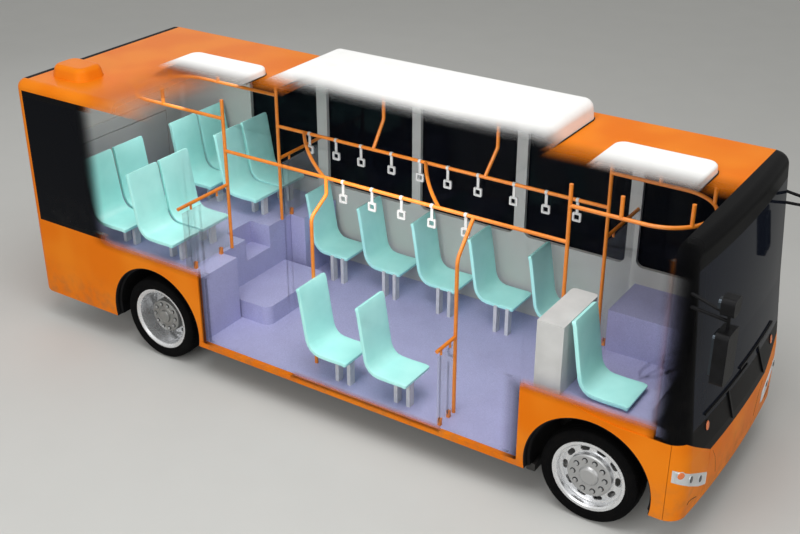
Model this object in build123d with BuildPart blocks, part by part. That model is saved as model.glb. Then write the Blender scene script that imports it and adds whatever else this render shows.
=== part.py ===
from build123d import *
import os
from math import cos, radians, sin

# Electric minibus. Millimetres, +X forward, +Y to the vehicle's left, +Z up.
# The origin is on the ground at the middle of the overall box.

# Overall body
HALF_WIDTH = 1150
SKIRT_Z = 323
ROOF_Z = 2622
ROOF_EDGE_RADIUS = 92
WALL = 50
GLASS = 8
WHEELBASE = 4626
REAR_OVERHANG = 1624
NOSE_REACH = 838
MIRROR_REACH = 990
TAIL_RADIUS = 110
NOSE_RADIUS = 160
NOSE_BOW = 56
SEAM = 4

# Stations along X: the front axle is the datum of every other station
FRONT_AXLE_X = (WHEELBASE + REAR_OVERHANG - MIRROR_REACH) / 2
REAR_AXLE_X = FRONT_AXLE_X - WHEELBASE
TAIL_X = REAR_AXLE_X - REAR_OVERHANG
NOSE_X = FRONT_AXLE_X + NOSE_REACH

# Body sections: height, and how far the nose stands behind its foremost point
NOSE_STATIONS = ((SKIRT_Z, 4), (660, 0), (860, 4), (1540, 68), (ROOF_Z, 150))

# Glass band and its lower edge along the side
WAIST_Z = 1155
FRONT_WAIST_Z = 1028
BAND_TOP_Z = 2526
SWOOP_START_X = FRONT_AXLE_X - 560
SWOOP_END_X = FRONT_AXLE_X + 330
SCREEN_X = FRONT_AXLE_X + 515
SCREEN_SILL_Z = 765
CENTRE_PANEL_HALF = 665
CORNER_PANEL_X = FRONT_AXLE_X + 663

# Floors
FLOOR_Z = 350
FLOOR_THICK = 27
PLATFORM_Z = 1030
PLATFORM_X = REAR_AXLE_X + 376
PLATFORM_THICK = 30
STEP_RISE = 200
STEP_X = PLATFORM_X + 530
NOTCH_DEPTH = 250
NOTCH_HALF = 190
CAB_FLOOR_Z = 610
CEILING_Z = ROOF_Z - WALL

# Wheel arches and the boxes over the front wheels
ARCH_RADIUS = 554
ARCH_Z = 436
BOX_TOP_Z = 1025
BOX_INNER_Y = 500
BOX_REACH = 596
BOX_THICK = 22

# Doorways on the right side, as stations behind the front axle
REAR_DOOR = (4028, 2948)
FRONT_DOOR = (1381, 620)
DOOR_SILL_Z = 374
DOOR_THICK = 40
DOOR_GAP = 8
DOOR_POST_INSET = 25
DOOR_MEETING_GAP = 10
DOOR_PIN_RADIUS = 10
PIN_GAP = 0.3
DOOR_FRAME = 60
DOOR_LOW_Z = DOOR_SILL_Z + DOOR_GAP
DOOR_HIGH_Z = BAND_TOP_Z - DOOR_GAP
DOOR_MIDRAIL_Z = 1120

# Windows between the pillars, as (rear, front) stations behind the front axle
LEFT_WINDOWS = ((5180, 4280), (4150, 3085), (2985, 1900), (1785, 725), (610, -330))
RIGHT_WINDOWS = ((5600, 4200), (2800, 1520), (470, -330))

# Wheels: tyre and rim sections are (distance outwards from the tyre's middle, radius)
TYRE_RADIUS = 428
TYRE_WIDTH = 245
TREAD_HALF = 102
SHOULDER_RADIUS = 420
SIDEWALL_RADIUS = 372
RIM_HALF = 95
RIM_RADIUS = 318
RIM_SEAT_RADIUS = 292
WHEEL_Z = TYRE_RADIUS
TYRE_Y = HALF_WIDTH - 40 - TYRE_WIDTH / 2
TWIN_GAP = 45
STUB_RADIUS = 38
HUB_BORE = STUB_RADIUS + 1
FRONT_RIM_SECTION = ((112, 0), (112, 62), (106, 78), (92, 88), (90, 180), (84, 192), (46, 198), (38, 262),
                     (42, 280), (98, 282), (107, 294), (107, 318), (95, 318), (95, 292), (-95, 292), (-95, 318),
                     (-107, 318), (-107, 280), (26, 280), (24, 262), (30, 186), (72, 178), (74, 84), (-38, 84),
                     (-38, HUB_BORE), (60, HUB_BORE), (60, 0))
FRONT_DISC_FACE = 88
TWIN_MIDDLE = (TYRE_WIDTH + TWIN_GAP) / 2
TWIN_RIM_SECTION = ((96, 0), (96, 62), (84, 82), (12, 96), (12, 270), (40, 280), (238, 280), (252, 306),
                    (252, 318), (240, 318), (240, 292), (50, 292), (50, 318), (38, 318), (30, 292), (-30, 292),
                    (-38, 318), (-50, 318), (-50, 292), (-240, 292), (-240, 318), (-252, 318), (-252, 280),
                    (-40, 280), (-12, 270), (-12, 96), (-84, 82), (-84, HUB_BORE), (60, HUB_BORE), (60, 0))
TWIN_DISC_FACE = 12
HAND_HOLES = 10
HAND_HOLE_CIRCLE = 230
HAND_HOLE_LENGTH = 84
HAND_HOLE_WIDTH = 44
STUDS = 10
STUD_CIRCLE = 140
STUD_RADIUS = 16
STUD_LENGTH = 16

# Axles, springs and knuckles
EYE_Z = 412
BEAM_WIDTH = 84
BEAM_HEIGHT = 96
BEAM_DROP = 82
BEAM_DROP_Y = 560
BEAM_KNEE_Y = 740
KINGPIN_Y = 866
KINGPIN_RADIUS = 22
KINGPIN_CLEARANCE = 1
FORK_GAP = 6
FORK_ARM = 30
KNUCKLE_PLATE = 20
KNUCKLE_FACE_Y = TYRE_Y - 38 - 6
KNUCKLE_PLATE_RADIUS = 98
STUB_END_Y = TYRE_Y + 52
SPRING_Y = 395
SPRING_SEAT = 14
BELLOWS_RADIUS = 80
BELLOWS_BULGE = 18
ROD_RADIUS = 18
FRONT_BRACKET_X = FRONT_AXLE_X - 490
REAR_BRACKET_X = REAR_AXLE_X - 494
FRONT_RAIL_Z = 500
REAR_RAIL_Z = 620
REAR_TUBE_HALF = 560
REAR_TUBE_RADIUS = 60
SPINDLE_END_Y = TYRE_Y - TWIN_MIDDLE + 52
DIFFERENTIAL_RADIUS = 150

# Underframe; rails are (rear station, front station, low, high)
FRAME_INNER_Y = 360
FRAME_OUTER_Y = 430
FRAME_RAILS = ((570, -600, FRONT_RAIL_Z, 580), (570, 490, 250, 580), (4360, 490, 250, 322),
               (4360, 4280, 250, 740), (6100, 4280, REAR_RAIL_Z, 740), (5200, 5120, 400, REAR_RAIL_Z))
# Cross members are (front station, low, high, reach each side)
FRAME_CROSS_MEMBERS = ((-600, FRONT_RAIL_Z, 580, 900), (490, 250, 322, 1050), (1450, 250, 322, 1050),
                       (2400, 250, 322, 1050), (3350, 250, 322, 1050), (4280, REAR_RAIL_Z, 740, 430),
                       (5300, REAR_RAIL_Z, 740, 1050), (6040, REAR_RAIL_Z, 740, 1050))
FRAME_CROSS_WIDTH = 80
TOW_BORE_RADIUS = 20
TOW_BORE_Z = 540

# Rails and poles, as stations behind the front axle
RAIL_RADIUS = 17
RAIL_Y = 400
RAIL_Z = 2062
LOOP_Z = 2385
REAR_POLE = 4245
FRONT_POLE = 637
FRONT_LOOP_TIP = -400
REAR_LOOP_TIP = 5600
LOOP_HANGER_SETBACK = 200
LOOP_HANGER_ANGLE = 38
STANCHION_BEND = 90
CROSS_RAILS = (((3910, 400, RAIL_Z), (3510, -40, RAIL_Z), (3073, -400, RAIL_Z)),
               ((2487, 400, RAIL_Z), (2165, -50, RAIL_Z), (1850, -400, RAIL_Z)))
WALL_RAILS = (((3082, 400, RAIL_Z), (3058, 550, 2330), (3058, 550, CEILING_Z)),
              ((1855, 400, RAIL_Z), (1789, 503, 2330), (1789, 503, CEILING_Z)))
STANCHIONS = (((1425, -800, FLOOR_Z), (1425, -800, 1850), (1507, -400, RAIL_Z)),
              ((2925, -800, FLOOR_Z), (2925, -800, 1850), (2930, -560, 1985), (3053, -400, RAIL_Z)))

# Guards: station, inner and outer edge of the screen, ground level, rail height
GUARDS = ((4245, 440, 1050, PLATFORM_Z, 1712), (4245, -440, -1050, PLATFORM_Z, 1712),
          (637, 440, 1050, CAB_FLOOR_Z, 1780), (1425, -840, -1080, FLOOR_Z, 1120))
GUARD_REACH = 40
GUARD_STUB = 60
STUB_TUBE_RADIUS = 11
SCREEN_THICK = 10
SCREEN_FOOT = 40
FOOT_GRIP = 30
FOOT_HALF = 15
GUARD_STUBS = (0.2, 0.8)

# Strap hangers, as stations behind the front axle
HANGERS_LEFT = (3842, 3520, 3223, 2870, 2550, 2245, 1922, 1551, 1229, 927)
HANGERS_RIGHT = (2861, 2546, 2234, 1921, 1583)
HANGER_SLEEVE = 4
HANGER_STRAP_WIDTH = 26
HANGER_LENGTH = 205
HANGER_RING = 84
HANGER_HOLE = 48
HANGER_RING_THICK = 16

# Seats: 30 mm bent shells
SEAT_WIDTH = 402
SEAT_DEPTH = 390
SEAT_BACK = 610
SEAT_LEAN = 95
SEAT_SHELL = 30
SEAT_BEND = 95
SEAT_CORNER = 28
LEG = 36
LEG_PITCH = 130
LEG_SETBACK = 123
# Rows of seats: height, ground, offset of the legs, (front station, middle) of each seat
PASSENGER_SEATS = (
    (670, FLOOR_Z, -180, ((962, 825), (1617, 825), (2272, 825), (2927, 825), (3582, 825))),
    (670, FLOOR_Z, -40, ((1745, -880), (2385, -880))),
    (1285, PLATFORM_Z, 0, ((4425, 842), (4425, 410), (4425, -410), (4425, -842),
                           (5045, 842), (5045, 410), (5045, -410), (5045, -842))),
)
DRIVER_SEAT = ((1100, BOX_TOP_Z, 0, ((-222, -747),)),)

# Cab
CABINET_REAR = 574
CABINET_FRONT = 340
CABINET_RIGHT_Y = -1000
CABINET_LEFT_Y = -360
CABINET_TOP_Z = 1650
CABINET_CORNER = 40
DRIVER_Y = -750
DASH_HALF = 990
DASH_SECTION = ((600, 610), (600, 1030), (430, 1060), (430, 1180), (500, 1240), (700, 1150), (700, 610))
BINNACLE_HALF = 230
BINNACLE_SECTION = ((440, 1150), (500, 1330), (580, 1340), (640, 1150))
STEERING_X = 400
STEERING_Z = 1440
STEERING_TILT = 58
STEERING_RADIUS = 205
STEERING_GRIP = 14
STEERING_HUB = 48
STEERING_COLUMN = 26
COLUMN_LENGTH = 330

# Mirrors and wipers; arms are (height at the body, at the stem), heads (middle height, height, width)
MIRROR_Y = 1120
MIRROR_ROOT_Y = 1060
MIRROR_ROOT_X = 560
MIRROR_STEM_X = 940
MIRROR_TOP_Z = 2300
MIRROR_LOW_Z = 2000
MIRROR_ARM = 13
MIRROR_ARMS = ((2300, 2216), (2180, 2172))
MIRROR_DEPTH = 100
MIRROR_CORNER = 40
MIRROR_HEADS = ((2300, 140, 150), (1900, 420, 220))
WIPER_GAP = 0.3
WIPER_THICK = 14
WIPER_BLADE = 18
# Wipers: pivot and its height, ends and height of the blade
WIPERS = ((560, 830, 760, -120, 1215), (-240, 830, 60, -820, 1165))

# Traction
BATTERY_STATIONS = (FRONT_AXLE_X - 6020, FRONT_AXLE_X - 5300)
BATTERY_HALF = 850
BATTERY_LOW_Z = 740
MOTOR_STATION = 5060
MOTOR_Z = WHEEL_Z
MOTOR_RADIUS = 170
MOTOR_LENGTH = 360
SHAFT_RADIUS = 45

# Derived edges of the body
SIDE_REAR_X = TAIL_X + TAIL_RADIUS
BAND_START_X = SIDE_REAR_X + 2
WINDOW_LOW_Z = WAIST_Z + 45
WINDOW_HIGH_Z = BAND_TOP_Z - 60
WINDOW_CORNER = 70
TAIL_KICK = 130

# Rear end
REAR_GLASS_WRAP = 74
REAR_GLASS_HALF = 1030
REAR_GLASS_LOW_Z = 1745
REAR_GLASS_HIGH_Z = ROOF_Z + 1
REAR_WINDOW_WIDTH = 1800
REAR_WINDOW_HEIGHT = 560
HATCH_HALF = 820
HATCH_LOW_Z = 470
HATCH_HIGH_Z = 1712
HATCH_SEAM = 9
HATCH_SLOTS = 9
HATCH_SLOT_Z = 620
HATCH_SLOT_PITCH = 44
HATCH_SLOT = 16
HATCH_SLOT_HALF = 330
LAMP_INNER_Y = 870
LAMP_OUTER_Y = 1010
LAMP_LOW_Z = 760
LAMP_HIGH_Z = 1180

# Roof pods: rear and front station, left and right edge, height, radius of the top edge
PODS = ((5210, 4250, 340, -340, 78, 30), (3900, 1050, 980, -980, 190, 96), (610, -290, 400, -400, 78, 30))
POD_CORNER = 110
POD_TAPER = 6
HUMP_STATION = 5790
HUMP_Y = -720
HUMP_LENGTH = 460
HUMP_WIDTH = 360
HUMP_HEIGHT = 120
HUMP_CORNER = 120
HUMP_TAPER = 14
HUMP_EDGE = 60

# Front apron and headlamps; the lamp outline is (distance from the middle, height)
APRON_SHOULDER_Y = 960
APRON_DROP = 78
APRON_FLAT = 25
APRON_SHOULDER_RADIUS = 160
SCREEN_OPENING_HALF = 1000
COWL = 60
HEADER_Z = 2440
LAMP_SIDE_START = 26
HEADLAMP_INNER_Y = CENTRE_PANEL_HALF + 7
HEADLAMP_OUTER_Y = HALF_WIDTH + 2
HEADLAMP_OUTLINE = ((HEADLAMP_INNER_Y, 430), (HEADLAMP_INNER_Y + 148, 500), (HEADLAMP_OUTER_Y - 92, 648),
                    (HEADLAMP_OUTER_Y, 700), (HEADLAMP_OUTER_Y, 812), (HEADLAMP_INNER_Y, 552))

# Rear wheel boxes, the step notch and the step box
REAR_BOX_X = REAR_AXLE_X + 562
REAR_BOX_INNER_Y = 545
NOTCH_Z = (FLOOR_Z + STEP_RISE + PLATFORM_Z) / 2
STEP_LEFT_Y = 420
STEP_RIGHT_Y = -520
STEP_CORNER = 90

os.makedirs("parts", exist_ok=True)


def block(x0, x1, y0, y1, z0, z1, mode=Mode.ADD):
    """A box between two opposite corners, in the part being built."""
    with Locations(((x0 + x1) / 2, (y0 + y1) / 2, (z0 + z1) / 2)):
        Box(abs(x1 - x0), abs(y1 - y0), abs(z1 - z0), mode=mode)


def body_section(height, setback, inset):
    """Plan outline of the body at a height: bowed nose, rounded corners."""
    side = HALF_WIDTH - inset
    nose = NOSE_X - setback - inset
    tail = TAIL_X + inset
    with BuildSketch(Plane.XY.offset(height)) as outline:
        with BuildLine():
            bow = ThreePointArc((nose - NOSE_BOW, -side), (nose, 0), (nose - NOSE_BOW, side))
            Polyline(bow @ 1, (tail, side), (tail, -side), bow @ 0)
        make_face()
        fillet(outline.vertices().group_by(Axis.X)[-1], NOSE_RADIUS - inset)
        fillet(outline.vertices().group_by(Axis.X)[0], TAIL_RADIUS - inset)
    return outline.sketch


def envelope(inset):
    """The body's outer form, moved inwards by inset on every side but the bottom."""
    with BuildPart() as form:
        heights = [z for z, _ in NOSE_STATIONS]
        for (z0, s0), (z1, s1) in zip(NOSE_STATIONS, NOSE_STATIONS[1:]):
            top = z1 - inset if z1 == heights[-1] else z1
            loft(sections=[body_section(z0, s0, inset), body_section(top, s1, inset)], ruled=True)
        fillet(form.faces().sort_by(Axis.Z)[-1].edges(), ROOF_EDGE_RADIUS - inset)
    return form.part


outer = envelope(0)
behind_glass = envelope(GLASS)
inner = envelope(WALL)
full_shell = outer - inner
glass_shell = outer - behind_glass
inner_shell = behind_glass - inner


def save(piece, label):
    piece.part.label = label
    export_step(piece.part, f"parts/{label}.step")


def side_prism(view, side, mode=Mode.SUBTRACT):
    """Pushes a side-view sketch out through the wall of one side."""
    extrude(view.sketch, amount=-side * (HALF_WIDTH + 10), mode=mode)


def band_outline(side):
    """The glass band of one side, as a side-view prism."""
    with BuildPart() as band:
        with BuildSketch(Plane.XZ) as view:
            with BuildLine():
                middle = ((SWOOP_START_X + SWOOP_END_X) / 2, (WAIST_Z + FRONT_WAIST_Z) / 2)
                first = TangentArc((SWOOP_START_X, WAIST_Z), middle, tangent=(1, 0))
                second = TangentArc(middle, (SWOOP_END_X, FRONT_WAIST_Z), tangent=first % 1)
                Polyline(second @ 1, (SCREEN_X, FRONT_WAIST_Z), (SCREEN_X, BAND_TOP_Z),
                         (BAND_START_X, BAND_TOP_Z), (BAND_START_X, WAIST_Z), first @ 0)
            make_face()
        side_prism(view, side, Mode.ADD)
    return band.part


def cut_windows(windows, side):
    """Rounded window openings between the pillars."""
    for aft, fore in windows:
        with BuildSketch(Plane.XZ) as view:
            with Locations((FRONT_AXLE_X - (aft + fore) / 2, (WINDOW_LOW_Z + WINDOW_HIGH_Z) / 2)):
                RectangleRounded(aft - fore, WINDOW_HIGH_Z - WINDOW_LOW_Z, WINDOW_CORNER)
        side_prism(view, side)


def cut_arches(side):
    for axle_x in (FRONT_AXLE_X, REAR_AXLE_X):
        with BuildSketch(Plane.XZ) as view:
            with Locations((axle_x, ARCH_Z)):
                Circle(ARCH_RADIUS)
        side_prism(view, side)


def cut_tail_kick():
    """Rounds the lower rear corner of the skirt in side view."""
    with BuildSketch(Plane.XZ) as view:
        with Locations((TAIL_X + TAIL_KICK / 2 - 1, SKIRT_Z + TAIL_KICK / 2 - 1)):
            Rectangle(TAIL_KICK + 2, TAIL_KICK + 2)
        with Locations((TAIL_X + TAIL_KICK, SKIRT_Z + TAIL_KICK)):
            Circle(TAIL_KICK, mode=Mode.SUBTRACT)
    extrude(view.sketch, amount=HALF_WIDTH + 10, both=True, mode=Mode.SUBTRACT)


# Side glass: one flush band a side, bonded over the pillars
with BuildPart() as glass_left:
    add(glass_shell)
    add(band_outline(1), mode=Mode.INTERSECT)

with BuildPart() as glass_right:
    add(glass_shell)
    add(band_outline(-1), mode=Mode.INTERSECT)
    for rear_edge, front_edge in (REAR_DOOR, FRONT_DOOR):
        block(FRONT_AXLE_X - rear_edge, FRONT_AXLE_X - front_edge, -HALF_WIDTH - 1, 0,
              SKIRT_Z, ROOF_Z, Mode.SUBTRACT)

with BuildPart() as side_glass:
    add(glass_left.part)
    add(glass_right.part)
save(side_glass, "side_glass")

# Left side wall with two wheel arches and its window openings
with BuildPart() as side_left:
    add(full_shell)
    block(SIDE_REAR_X, CORNER_PANEL_X - SEAM, 0, HALF_WIDTH + 1, SKIRT_Z, BAND_TOP_Z, Mode.INTERSECT)
    block(SCREEN_X, NOSE_X, 0, HALF_WIDTH + 1, FRONT_WAIST_Z, BAND_TOP_Z, Mode.SUBTRACT)
    add(glass_left.part, mode=Mode.SUBTRACT)
    cut_windows(LEFT_WINDOWS, 1)
    cut_arches(1)
    cut_tail_kick()
save(side_left, "side_left")

# Right side wall with two doorways, joined by the sill strip under them
with BuildPart() as side_right:
    add(full_shell)
    block(SIDE_REAR_X, CORNER_PANEL_X - SEAM, -HALF_WIDTH - 1, 0, SKIRT_Z, BAND_TOP_Z, Mode.INTERSECT)
    block(SCREEN_X, NOSE_X, -HALF_WIDTH - 1, 0, FRONT_WAIST_Z, BAND_TOP_Z, Mode.SUBTRACT)
    add(glass_right.part, mode=Mode.SUBTRACT)
    cut_windows(RIGHT_WINDOWS, -1)
    cut_arches(-1)
    cut_tail_kick()
    for rear_edge, front_edge in (REAR_DOOR, FRONT_DOOR):
        block(FRONT_AXLE_X - rear_edge, FRONT_AXLE_X - front_edge, -HALF_WIDTH - 1, 0,
              DOOR_SILL_Z, BAND_TOP_Z, Mode.SUBTRACT)
save(side_right, "side_right")

# Rear glass and the wall round the service hatch
with BuildPart() as glass_rear:
    add(glass_shell)
    block(TAIL_X - 1, TAIL_X + REAR_GLASS_WRAP, -REAR_GLASS_HALF, REAR_GLASS_HALF,
          REAR_GLASS_LOW_Z, REAR_GLASS_HIGH_Z, Mode.INTERSECT)
save(glass_rear, "glass_rear")

with BuildPart() as rear_wall:
    add(full_shell)
    block(TAIL_X - 1, SIDE_REAR_X, -HALF_WIDTH - 1, HALF_WIDTH + 1, SKIRT_Z, BAND_TOP_Z, Mode.INTERSECT)
    add(glass_rear.part, mode=Mode.SUBTRACT)
    block(TAIL_X - 1, TAIL_X + WALL + 1, -HATCH_HALF - HATCH_SEAM, HATCH_HALF + HATCH_SEAM,
          HATCH_LOW_Z - HATCH_SEAM, HATCH_HIGH_Z + HATCH_SEAM, Mode.SUBTRACT)
    with BuildSketch(Plane.YZ.offset(TAIL_X - 1)):
        with Locations((0, (REAR_GLASS_LOW_Z + BAND_TOP_Z) / 2)):
            RectangleRounded(REAR_WINDOW_WIDTH, REAR_WINDOW_HEIGHT, WINDOW_CORNER)
    extrude(amount=WALL + 2, mode=Mode.SUBTRACT)
    for side in (1, -1):
        block(TAIL_X - 1, TAIL_X + WALL + 1, side * LAMP_INNER_Y, side * LAMP_OUTER_Y,
              LAMP_LOW_Z, LAMP_HIGH_Z, Mode.SUBTRACT)
    cut_tail_kick()
save(rear_wall, "rear_wall")

with BuildPart() as rear_hatch:
    add(full_shell)
    block(TAIL_X - 1, TAIL_X + WALL + 1, -HATCH_HALF, HATCH_HALF, HATCH_LOW_Z, HATCH_HIGH_Z, Mode.INTERSECT)
    for row in range(HATCH_SLOTS):
        block(TAIL_X - 1, TAIL_X + WALL + 1, -HATCH_SLOT_HALF, HATCH_SLOT_HALF,
              HATCH_SLOT_Z + row * HATCH_SLOT_PITCH, HATCH_SLOT_Z + row * HATCH_SLOT_PITCH + HATCH_SLOT,
              Mode.SUBTRACT)
save(rear_hatch, "rear_hatch")

# Roof with its rounded edge, and the pods that stand on it
with BuildPart() as roof:
    add(full_shell)
    block(TAIL_X - 1, SCREEN_X, -HALF_WIDTH - 1, HALF_WIDTH + 1, BAND_TOP_Z, ROOF_Z + 1, Mode.INTERSECT)
    add(glass_rear.part, mode=Mode.SUBTRACT)
save(roof, "roof")

with BuildPart() as roof_pods:
    for aft, fore, left, right, height, edge in PODS:
        with BuildPart() as pod:
            with BuildSketch(Plane.XY.offset(ROOF_Z)):
                with Locations((FRONT_AXLE_X - (aft + fore) / 2, (left + right) / 2)):
                    RectangleRounded(aft - fore, left - right, POD_CORNER)
            extrude(amount=height, taper=POD_TAPER)
            fillet(pod.faces().sort_by(Axis.Z)[-1].edges(), edge)
        add(pod.part)
save(roof_pods, "roof_pods")

with BuildPart() as roof_hump:
    with BuildSketch(Plane.XY.offset(ROOF_Z)):
        with Locations((FRONT_AXLE_X - HUMP_STATION, HUMP_Y)):
            RectangleRounded(HUMP_LENGTH, HUMP_WIDTH, HUMP_CORNER)
    extrude(amount=HUMP_HEIGHT, taper=HUMP_TAPER)
    fillet(roof_hump.faces().sort_by(Axis.Z)[-1].edges(), HUMP_EDGE)
save(roof_hump, "roof_hump")

# Front: the apron below the windscreen, in front view
with BuildPart() as apron_space:
    with BuildSketch(Plane.YZ.offset(SCREEN_X)) as apron_view:
        with BuildLine():
            Polyline((-HALF_WIDTH - 1, SKIRT_Z - 1), (-HALF_WIDTH - 1, FRONT_WAIST_Z),
                     (-HALF_WIDTH + WALL + APRON_FLAT, FRONT_WAIST_Z),
                     (-APRON_SHOULDER_Y, FRONT_WAIST_Z - APRON_DROP), (-CENTRE_PANEL_HALF, SCREEN_SILL_Z),
                     (CENTRE_PANEL_HALF, SCREEN_SILL_Z), (APRON_SHOULDER_Y, FRONT_WAIST_Z - APRON_DROP),
                     (HALF_WIDTH - WALL - APRON_FLAT, FRONT_WAIST_Z), (HALF_WIDTH + 1, FRONT_WAIST_Z),
                     (HALF_WIDTH + 1, SKIRT_Z - 1), close=True)
        make_face()
        shoulder = FRONT_WAIST_Z - APRON_DROP
        corners = apron_view.vertices().filter_by(lambda v: abs(v.Z - shoulder) < 1 or abs(v.Y - shoulder) < 1)
        fillet(corners, APRON_SHOULDER_RADIUS)
    extrude(amount=NOSE_X - SCREEN_X + 10)

lamp_spaces = []
for side in (1, -1):
    with BuildPart() as lamp_space:
        with BuildSketch(Plane.YZ.offset(CORNER_PANEL_X + LAMP_SIDE_START)):
            with BuildLine():
                Polyline(*[(side * y, z) for y, z in HEADLAMP_OUTLINE], close=True)
            make_face()
        extrude(amount=NOSE_X - CORNER_PANEL_X)
    lamp_spaces.append(lamp_space.part)

with BuildPart() as windscreen:
    add(glass_shell)
    block(SCREEN_X, NOSE_X + 1, -HALF_WIDTH - 1, HALF_WIDTH + 1, SKIRT_Z, ROOF_Z + 1, Mode.INTERSECT)
    add(apron_space.part, mode=Mode.SUBTRACT)
save(windscreen, "windscreen")

with BuildPart() as front_frame:
    add(inner_shell)
    block(SCREEN_X, NOSE_X + 1, -HALF_WIDTH - 1, HALF_WIDTH + 1, SKIRT_Z, ROOF_Z + 1, Mode.INTERSECT)
    add(apron_space.part, mode=Mode.SUBTRACT)
    with BuildSketch(Plane.YZ.offset(SCREEN_X)) as opening:
        with BuildLine():
            Polyline((-SCREEN_OPENING_HALF, HEADER_Z), (-SCREEN_OPENING_HALF, FRONT_WAIST_Z + COWL),
                     (-APRON_SHOULDER_Y, FRONT_WAIST_Z - APRON_DROP + COWL),
                     (-CENTRE_PANEL_HALF, SCREEN_SILL_Z + COWL), (CENTRE_PANEL_HALF, SCREEN_SILL_Z + COWL),
                     (APRON_SHOULDER_Y, FRONT_WAIST_Z - APRON_DROP + COWL),
                     (SCREEN_OPENING_HALF, FRONT_WAIST_Z + COWL), (SCREEN_OPENING_HALF, HEADER_Z), close=True)
        make_face()
    extrude(amount=NOSE_X - SCREEN_X + 10, mode=Mode.SUBTRACT)
save(front_frame, "front_frame")

with BuildPart() as centre_panel:
    add(full_shell)
    block(CORNER_PANEL_X, NOSE_X + 1, -CENTRE_PANEL_HALF + SEAM / 2, CENTRE_PANEL_HALF - SEAM / 2,
          SKIRT_Z, ROOF_Z, Mode.INTERSECT)
    add(apron_space.part, mode=Mode.INTERSECT)

with BuildPart() as corner_panels:
    add(full_shell)
    block(CORNER_PANEL_X, NOSE_X + 1, -HALF_WIDTH - 1, HALF_WIDTH + 1, SKIRT_Z, ROOF_Z, Mode.INTERSECT)
    add(apron_space.part, mode=Mode.INTERSECT)
    block(CORNER_PANEL_X - 1, NOSE_X + 1, -CENTRE_PANEL_HALF - SEAM / 2, CENTRE_PANEL_HALF + SEAM / 2,
          SKIRT_Z - 1, ROOF_Z, Mode.SUBTRACT)
    for lamp_space in lamp_spaces:
        add(lamp_space, mode=Mode.SUBTRACT)

with BuildPart() as front_panels:
    add(centre_panel.part)
    add(corner_panels.part)
save(front_panels, "front_panels")

with BuildPart() as headlamps:
    for lamp_space in lamp_spaces:
        add(full_shell & lamp_space)
save(headlamps, "headlamps")

with BuildPart() as tail_lamps:
    for side in (1, -1):
        block(TAIL_X, TAIL_X + WALL, side * LAMP_INNER_Y, side * LAMP_OUTER_Y, LAMP_LOW_Z, LAMP_HIGH_Z)
    fillet(tail_lamps.edges().filter_by(Axis.Y).group_by(Axis.X)[0], 8)
save(tail_lamps, "tail_lamps")

# Floors
with BuildPart() as floor:
    block(PLATFORM_X, FRONT_AXLE_X - BOX_REACH, -HALF_WIDTH + WALL, HALF_WIDTH - WALL,
          FLOOR_Z - FLOOR_THICK, FLOOR_Z)
    for side in (1, -1):
        block(PLATFORM_X, REAR_BOX_X, side * REAR_BOX_INNER_Y, side * HALF_WIDTH,
              FLOOR_Z - FLOOR_THICK, FLOOR_Z, Mode.SUBTRACT)
save(floor, "floor")

with BuildPart() as cab_floor:
    block(FRONT_AXLE_X - BOX_REACH, NOSE_X, -HALF_WIDTH, HALF_WIDTH, CAB_FLOOR_Z - FLOOR_THICK, CAB_FLOOR_Z)
    block(FRONT_AXLE_X - BOX_REACH, FRONT_AXLE_X - BOX_REACH + BOX_THICK, -HALF_WIDTH, HALF_WIDTH,
          FLOOR_Z - FLOOR_THICK, CAB_FLOOR_Z)
    for side in (1, -1):
        block(FRONT_AXLE_X - BOX_REACH, FRONT_AXLE_X + BOX_REACH, side * BOX_INNER_Y, side * HALF_WIDTH,
              CAB_FLOOR_Z - FLOOR_THICK, BOX_TOP_Z)
        block(FRONT_AXLE_X - BOX_REACH + BOX_THICK, FRONT_AXLE_X + BOX_REACH - BOX_THICK,
              side * (BOX_INNER_Y + BOX_THICK), side * (HALF_WIDTH + 1), CAB_FLOOR_Z - FLOOR_THICK - 1,
              BOX_TOP_Z - BOX_THICK, Mode.SUBTRACT)
    add(inner, mode=Mode.INTERSECT)
save(cab_floor, "cab_floor")

with BuildPart() as rear_platform:
    block(TAIL_X, PLATFORM_X, -HALF_WIDTH, HALF_WIDTH, PLATFORM_Z - PLATFORM_THICK, PLATFORM_Z)
    block(PLATFORM_X - BOX_THICK, PLATFORM_X, -REAR_BOX_INNER_Y - BOX_THICK, REAR_BOX_INNER_Y + BOX_THICK,
          FLOOR_Z - FLOOR_THICK, PLATFORM_Z)
    block(PLATFORM_X - NOTCH_DEPTH - BOX_THICK, PLATFORM_X, -NOTCH_HALF - BOX_THICK, NOTCH_HALF + BOX_THICK,
          NOTCH_Z - PLATFORM_THICK, PLATFORM_Z)
    block(PLATFORM_X - NOTCH_DEPTH, PLATFORM_X + 1, -NOTCH_HALF, NOTCH_HALF, NOTCH_Z, PLATFORM_Z + 1,
          Mode.SUBTRACT)
    for side in (1, -1):
        block(PLATFORM_X, REAR_BOX_X, side * REAR_BOX_INNER_Y, side * HALF_WIDTH,
              FLOOR_Z - FLOOR_THICK, PLATFORM_Z)
        block(PLATFORM_X - BOX_THICK, REAR_BOX_X - BOX_THICK, side * (REAR_BOX_INNER_Y + BOX_THICK),
              side * (HALF_WIDTH + 1), FLOOR_Z - FLOOR_THICK - 1, PLATFORM_Z - PLATFORM_THICK, Mode.SUBTRACT)
    add(inner, mode=Mode.INTERSECT)
save(rear_platform, "rear_platform")

with BuildPart() as step_box:
    with BuildSketch(Plane.XY.offset(FLOOR_Z)):
        with Locations(((PLATFORM_X + STEP_X) / 2, (STEP_LEFT_Y + STEP_RIGHT_Y) / 2)):
            Rectangle(STEP_X - PLATFORM_X, STEP_LEFT_Y - STEP_RIGHT_Y)
    extrude(amount=STEP_RISE)
    fillet(step_box.edges().filter_by(Axis.Z).group_by(Axis.X)[-1], STEP_CORNER)
save(step_box, "step_box")


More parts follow.
